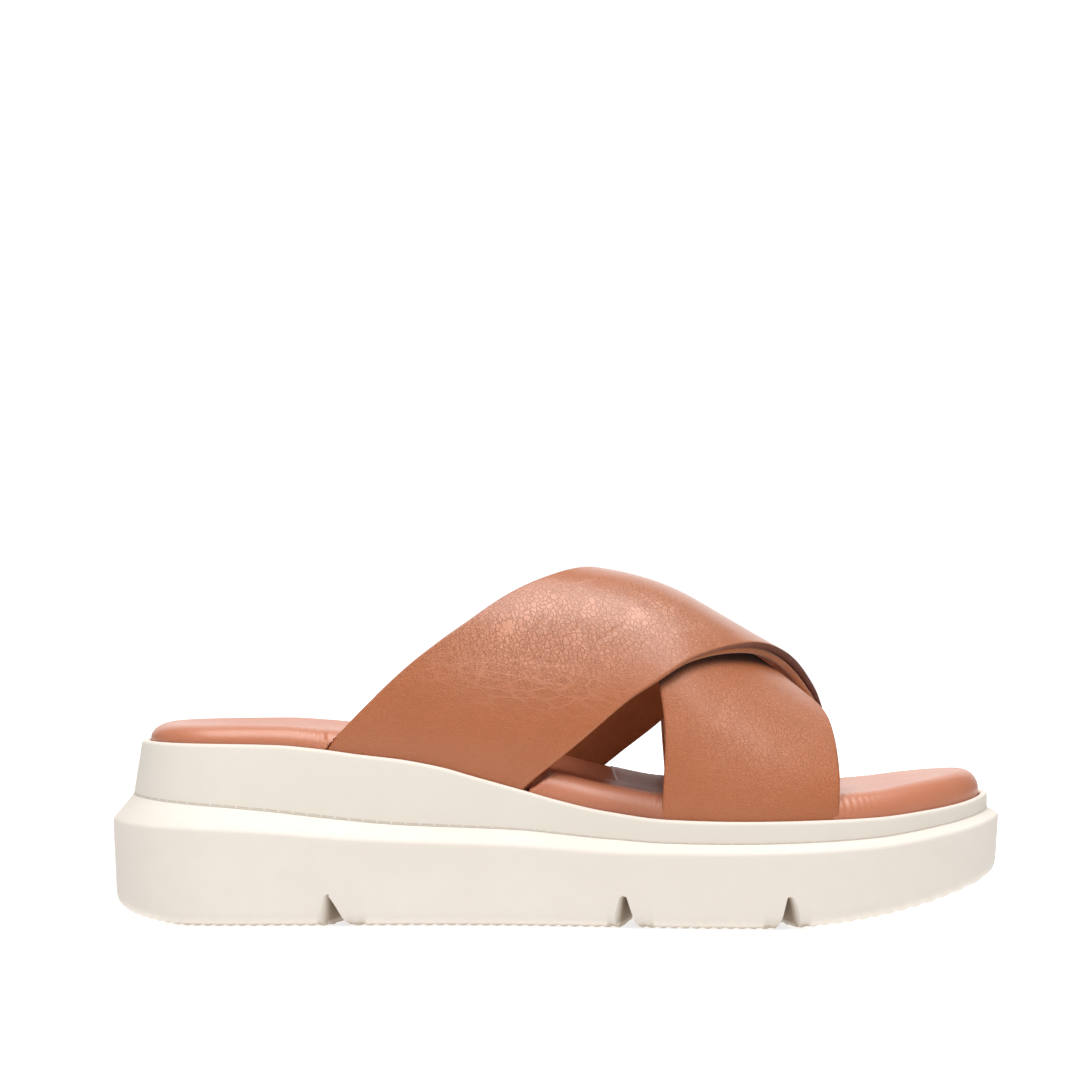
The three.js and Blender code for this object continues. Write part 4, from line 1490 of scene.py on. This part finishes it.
@dataclass
class Footbed:
    """The padded insole: a foam bed under leather, drawn in where the straps pass down its sides."""

    form: SoleForm
    foot: FootForm
    edge_run: float = 6.0
    edge_share: float = 0.9
    shade_run: float = 24.0
    shade_fade: float = 8.0
    turn_per_height: float = 0.0048
    pinch_run: float = 0.3
    pucker_pitch: float = 2.6
    pucker_reach: float = 6.0
    pucker_depth: float = 0.8
    per_side: int = 560

    def pinch(self, ring: Ring, stand: float) -> Array:
        """How far the side is drawn in at each strap, at a height above the rim.

        The straps lean, so their edges are read at the place over the foot that lies at that height.

        Args:
            ring: The sole's outline.
            stand: Height above the rim.

        Returns:
            The way in at each point, easing off past the strap's edges.
        """
        drawn = np.zeros_like(ring.x)
        for table in (OVER_STRAP, UNDER_STRAP):
            for side in (0.0, 1.0):
                turn = np.array(abs(side - stand * self.turn_per_height))
                rear, front = (self.foot.edge(table, name, turn) for name in ("rear", "front"))
                inside = np.minimum(ring.x - rear, front - ring.x)
                share = smooth_step((inside + self.pinch_run) / self.pinch_run)
                drawn = np.maximum(drawn, share * (ring.across == side))
        return drawn * (self.foot.thickness + CLEARANCE)

    def puckers(self, ring: Ring) -> Array:
        """Gathers beside each strap: waves that fade with the distance from the strap's edge."""
        depth = np.zeros_like(ring.x)
        for table in (OVER_STRAP, UNDER_STRAP):
            for side in (0.0, 1.0):
                for name, way in (("rear", -1.0), ("front", 1.0)):
                    away = way * (ring.x - self.foot.edge(table, name, np.array(side)))
                    wave = 0.5 + 0.5 * np.cos(2 * np.pi * (away + 0.012 * away**2) / self.pucker_pitch)
                    near = np.where(away > 0, np.exp(-away / self.pucker_reach), 0.0)
                    depth = np.maximum(depth, near * wave * (ring.across == side))
        return depth * self.pucker_depth

    def build(self, material: Material) -> Object:
        """Skins the bed from the recess over its rounded edge to the top.

        Args:
            material: The finish.

        Returns:
            The finished piece.
        """
        ring = self.form.outline(self.per_side)
        x = ring.x
        wall = self.form.recess_inset(x) + CLEARANCE
        inset = wall + self.pinch(ring, 0.0)
        deep = CLEARANCE - self.form.recess_depth
        levels = [ring.row(inset + 3, self.form.rim, deep), ring.row(inset, self.form.rim, deep)]
        pucker = self.puckers(ring)
        for turn in np.linspace(0, np.pi / 2, 17):
            stand = self.form.insole_stand * 0.8 * (1 - self.edge_share * (1 - math.sin(turn)))
            inset = wall + self.pinch(ring, stand)
            level = ring.row(inset + self.edge_run * (1 - math.cos(turn)), self.form.rim)
            place = ring.x + ring.in_x * level[:, 0]
            share = 1 - self.edge_share * (1 - math.sin(turn))
            level[:, 1] += self.form.footbed_stand(place, ring.across) * share
            level[:, 0] += pucker * math.sin(turn) ** 0.5 * math.cos(turn) ** 0.5
            level[:, 1] -= pucker * math.sin(turn) ** 2 * 0.7
            levels.append(level)
        points = np.stack([ring.points(p[:, 0], p[:, 1]) for p in levels])
        height = np.concatenate(([0.0, 3.0], 6.0 + np.linspace(0, 9, 17)))
        skin, index = ring_skin(ring, points, height)
        cap_skin(skin, index[0], points[0], lambda px, py, across: self.form.rim(px) + deep, 8, True)
        cap_skin(
            skin, index[-1], points[-1], lambda px, py, across: self.form.footbed_top(px, across), 48, False
        )
        made = skin.make(Piece.FOOTBED.label, 60.0)
        place = np.concatenate(skin.points)[:, 0]
        # Painted shade on the top under the straps: it rises towards the under strap's rear edge and fades
        # past its front. The small crease and wrinkle values bring a faint painted sheen and painted
        # highlights.
        rear, front = (self.foot.edge(UNDER_STRAP, name, np.array(0.3)) for name in ("rear", "front"))
        painted_shade = smooth_step((place - rear + self.shade_run) / self.shade_run)
        painted_shade = painted_shade * smooth_step((front - place) / self.shade_fade - 1)
        for name, value in (("edge", 0.0), ("crease", 0.05), ("wrinkle", 0.15), ("shade", 0.4 * painted_shade)):
            carry(made, name, value)
        return Piece.FOOTBED.settle(made, material)


@dataclass(frozen=True)
class Lamp:
    """A square soft light: its place, what it looks at, its side in metres and its power in watts."""

    name: str
    place: Triple
    aim: Triple
    size: float
    power: float

    def hang(self) -> None:
        """Adds the light to the scene, turned to what it looks at."""
        lamp = bpy.data.lights.new(self.name, "AREA")
        lamp.shape = "SQUARE"
        lamp.size = self.size
        lamp.energy = self.power
        made = bpy.data.objects.new(self.name, lamp)
        made.location = self.place
        away = np.array(self.place) - np.array(self.aim)
        tilt = math.atan2(math.hypot(away[0], away[1]), away[2])
        made.rotation_euler = (tilt, 0.0, math.atan2(away[1], away[0]) + math.pi / 2)
        bpy.context.scene.collection.objects.link(made)


@dataclass
class Studio:
    """Pale floor, soft lights and the camera. Places are in metres."""

    camera_place: Triple = (-0.00526, -1.0, 0.1103)
    focal_length: float = 112.93
    lamps: tuple[Lamp, ...] = (
        Lamp("overhead", (0.0, -0.36, 1.25), (0.0, 0.0, 0.0), 1.2, 23.0),
        Lamp("backdrop", (0.0, 1.5, 1.1), (0.0, 0.0, 1.1), 2.0, 13.0),
    )
    room_light: float = 0.15
    room_seen: float = 1.05
    floor_reach: float = 1.4

    def build(self) -> None:
        """Sets up the floor, the lights, the surroundings and the camera."""
        scene = bpy.context.scene
        camera = bpy.data.cameras.new("camera")
        camera.lens = self.focal_length
        camera.sensor_width = 36.0
        camera.clip_end = 20.0
        seat = bpy.data.objects.new("camera", camera)
        seat.location = self.camera_place
        seat.rotation_euler = (math.pi / 2, 0.0, 0.0)
        scene.collection.objects.link(seat)
        scene.camera = seat
        self.floor()
        for lamp in self.lamps:
            lamp.hang()
        scene.world = self.surroundings()
        scene.view_settings.view_transform = "Standard"

    def surroundings(self) -> bpy.types.World:
        """A white room: fully white behind the sandal, dimmer where it only lights it."""
        world = bpy.data.worlds.new("studio")
        world.use_nodes = True
        tree = NodeTree(world.node_tree)
        seen = tree.node("ShaderNodeLightPath").outputs["Is Camera Ray"]
        background = world.node_tree.nodes["Background"]
        background.inputs["Color"].default_value = (1.0, 1.0, 1.0, 1.0)
        tree.link(tree.span(seen, 0.0, 1.0, self.room_light, self.room_seen), background, "Strength")
        return world

    def floor(self) -> None:
        """Lays a wide flat pale sheet, which glows more with the distance from the sandal."""
        skin = Skin()
        steps = np.linspace(-self.floor_reach, self.floor_reach, 9)
        x, y = np.meshgrid(steps, steps)
        grid = np.stack([x, y, np.zeros_like(x)], axis=-1)
        index = skin.add_points(grid / METRES_PER_MM)
        skin.add_grid(index, grid[..., 0], grid[..., 1])
        made = skin.make("floor")
        material, tree, shader = start_material("pale floor")
        shader.inputs["Base Color"].default_value = (0.4, 0.4, 0.4, 1.0)
        shader.inputs["Roughness"].default_value = 0.9
        away = tree.node("ShaderNodeVectorMath", {0: tree.position()}, operation="LENGTH").outputs["Value"]
        glow = tree.blend(tree.span(away, 0.22, 0.6), (0.74, 0.74, 0.74, 1.0), (1.1, 1.1, 1.1, 1.0))
        tree.link(glow, shader, "Emission Color")
        shader.inputs["Emission Strength"].default_value = 1.0
        made.data.materials.append(material)


MOULD_LINE = srgb(170, 148, 118)
LOWER_FOAM = FoamFinish(
    name="lower tier foam",
    colour=srgb(238, 229, 219),
    shade=srgb(230, 219, 205),
    line=MOULD_LINE,
    deep=srgb(140, 118, 90),
    low_edge=0.0013,
)
# The upper tier's colours are a touch darker than the lower tier's, though the foam is the same cream:
# painted shade.
UPPER_FOAM = FoamFinish(
    name="upper tier foam",
    colour=srgb(232, 224, 213),
    shade=srgb(226, 217, 202),
    line=MOULD_LINE,
    deep=MOULD_LINE,
    line_height=(0.00005, 0.00035),
    dash_pitch=0.00405,
)
OVER_LEATHER = LeatherFinish(
    name="strap leather",
    colour=srgb(180, 100, 50),
    light=srgb(190, 110, 60),
    deep=srgb(168, 84, 44),
    edge=srgb(104, 54, 34),
    shadow=srgb(46, 18, 6),
    painted_sheen=srgb(232, 168, 138),
)
UNDER_LEATHER = replace(OVER_LEATHER, name="under strap leather", coat=0.45, roughness=0.43)
BED_LEATHER = LeatherFinish(
    name="footbed leather",
    colour=srgb(200, 125, 92),
    light=srgb(208, 139, 108),
    deep=srgb(180, 102, 70),
    edge=srgb(120, 70, 45),
    shadow=srgb(110, 60, 40),
    painted_sheen=srgb(212, 140, 106),
    roughness=0.42,
    coat=0.5,
    grain_depth=0.0001,
)
SUEDE = SuedeFinish(name="suede lining", colour=srgb(176, 104, 58), light=srgb(204, 134, 84))


def main() -> None:
    """Builds every piece in order and then the studio."""
    logging.basicConfig(level=logging.INFO, format="%(message)s")
    effects = Effects()
    form = SoleForm()
    foot = FootForm(form)
    Outsole(form).build(LOWER_FOAM.material(effects))
    Midsole(form).build(UPPER_FOAM.material(effects))
    bed = Footbed(form, foot).build(BED_LEATHER.material(effects))
    lining = SUEDE.material(effects)
    under = Strap(foot, UNDER_STRAP, False, Piece.UNDER, Piece.UNDER_LINING)
    under.build(UNDER_LEATHER.material(effects), lining)
    over = Strap(
        foot,
        OVER_STRAP,
        True,
        Piece.OVER,
        Piece.OVER_LINING,
        lining=1.4,
        hem=0.9,
        lining_hem=0.8,
        paint=(0.3, 1.0),
        folds=OVER_FOLDS,
        net=Patch(0.27, 0.47, 0.14, 0.6, 1.0, 0.08),
        wrinkles=Patch(0.15, 0.5, 0.05, 0.5, 0.9, 0.08),
    )
    over.build(OVER_LEATHER.material(effects), lining)
    Studio().build()


if __name__ == "__main__":
    main()
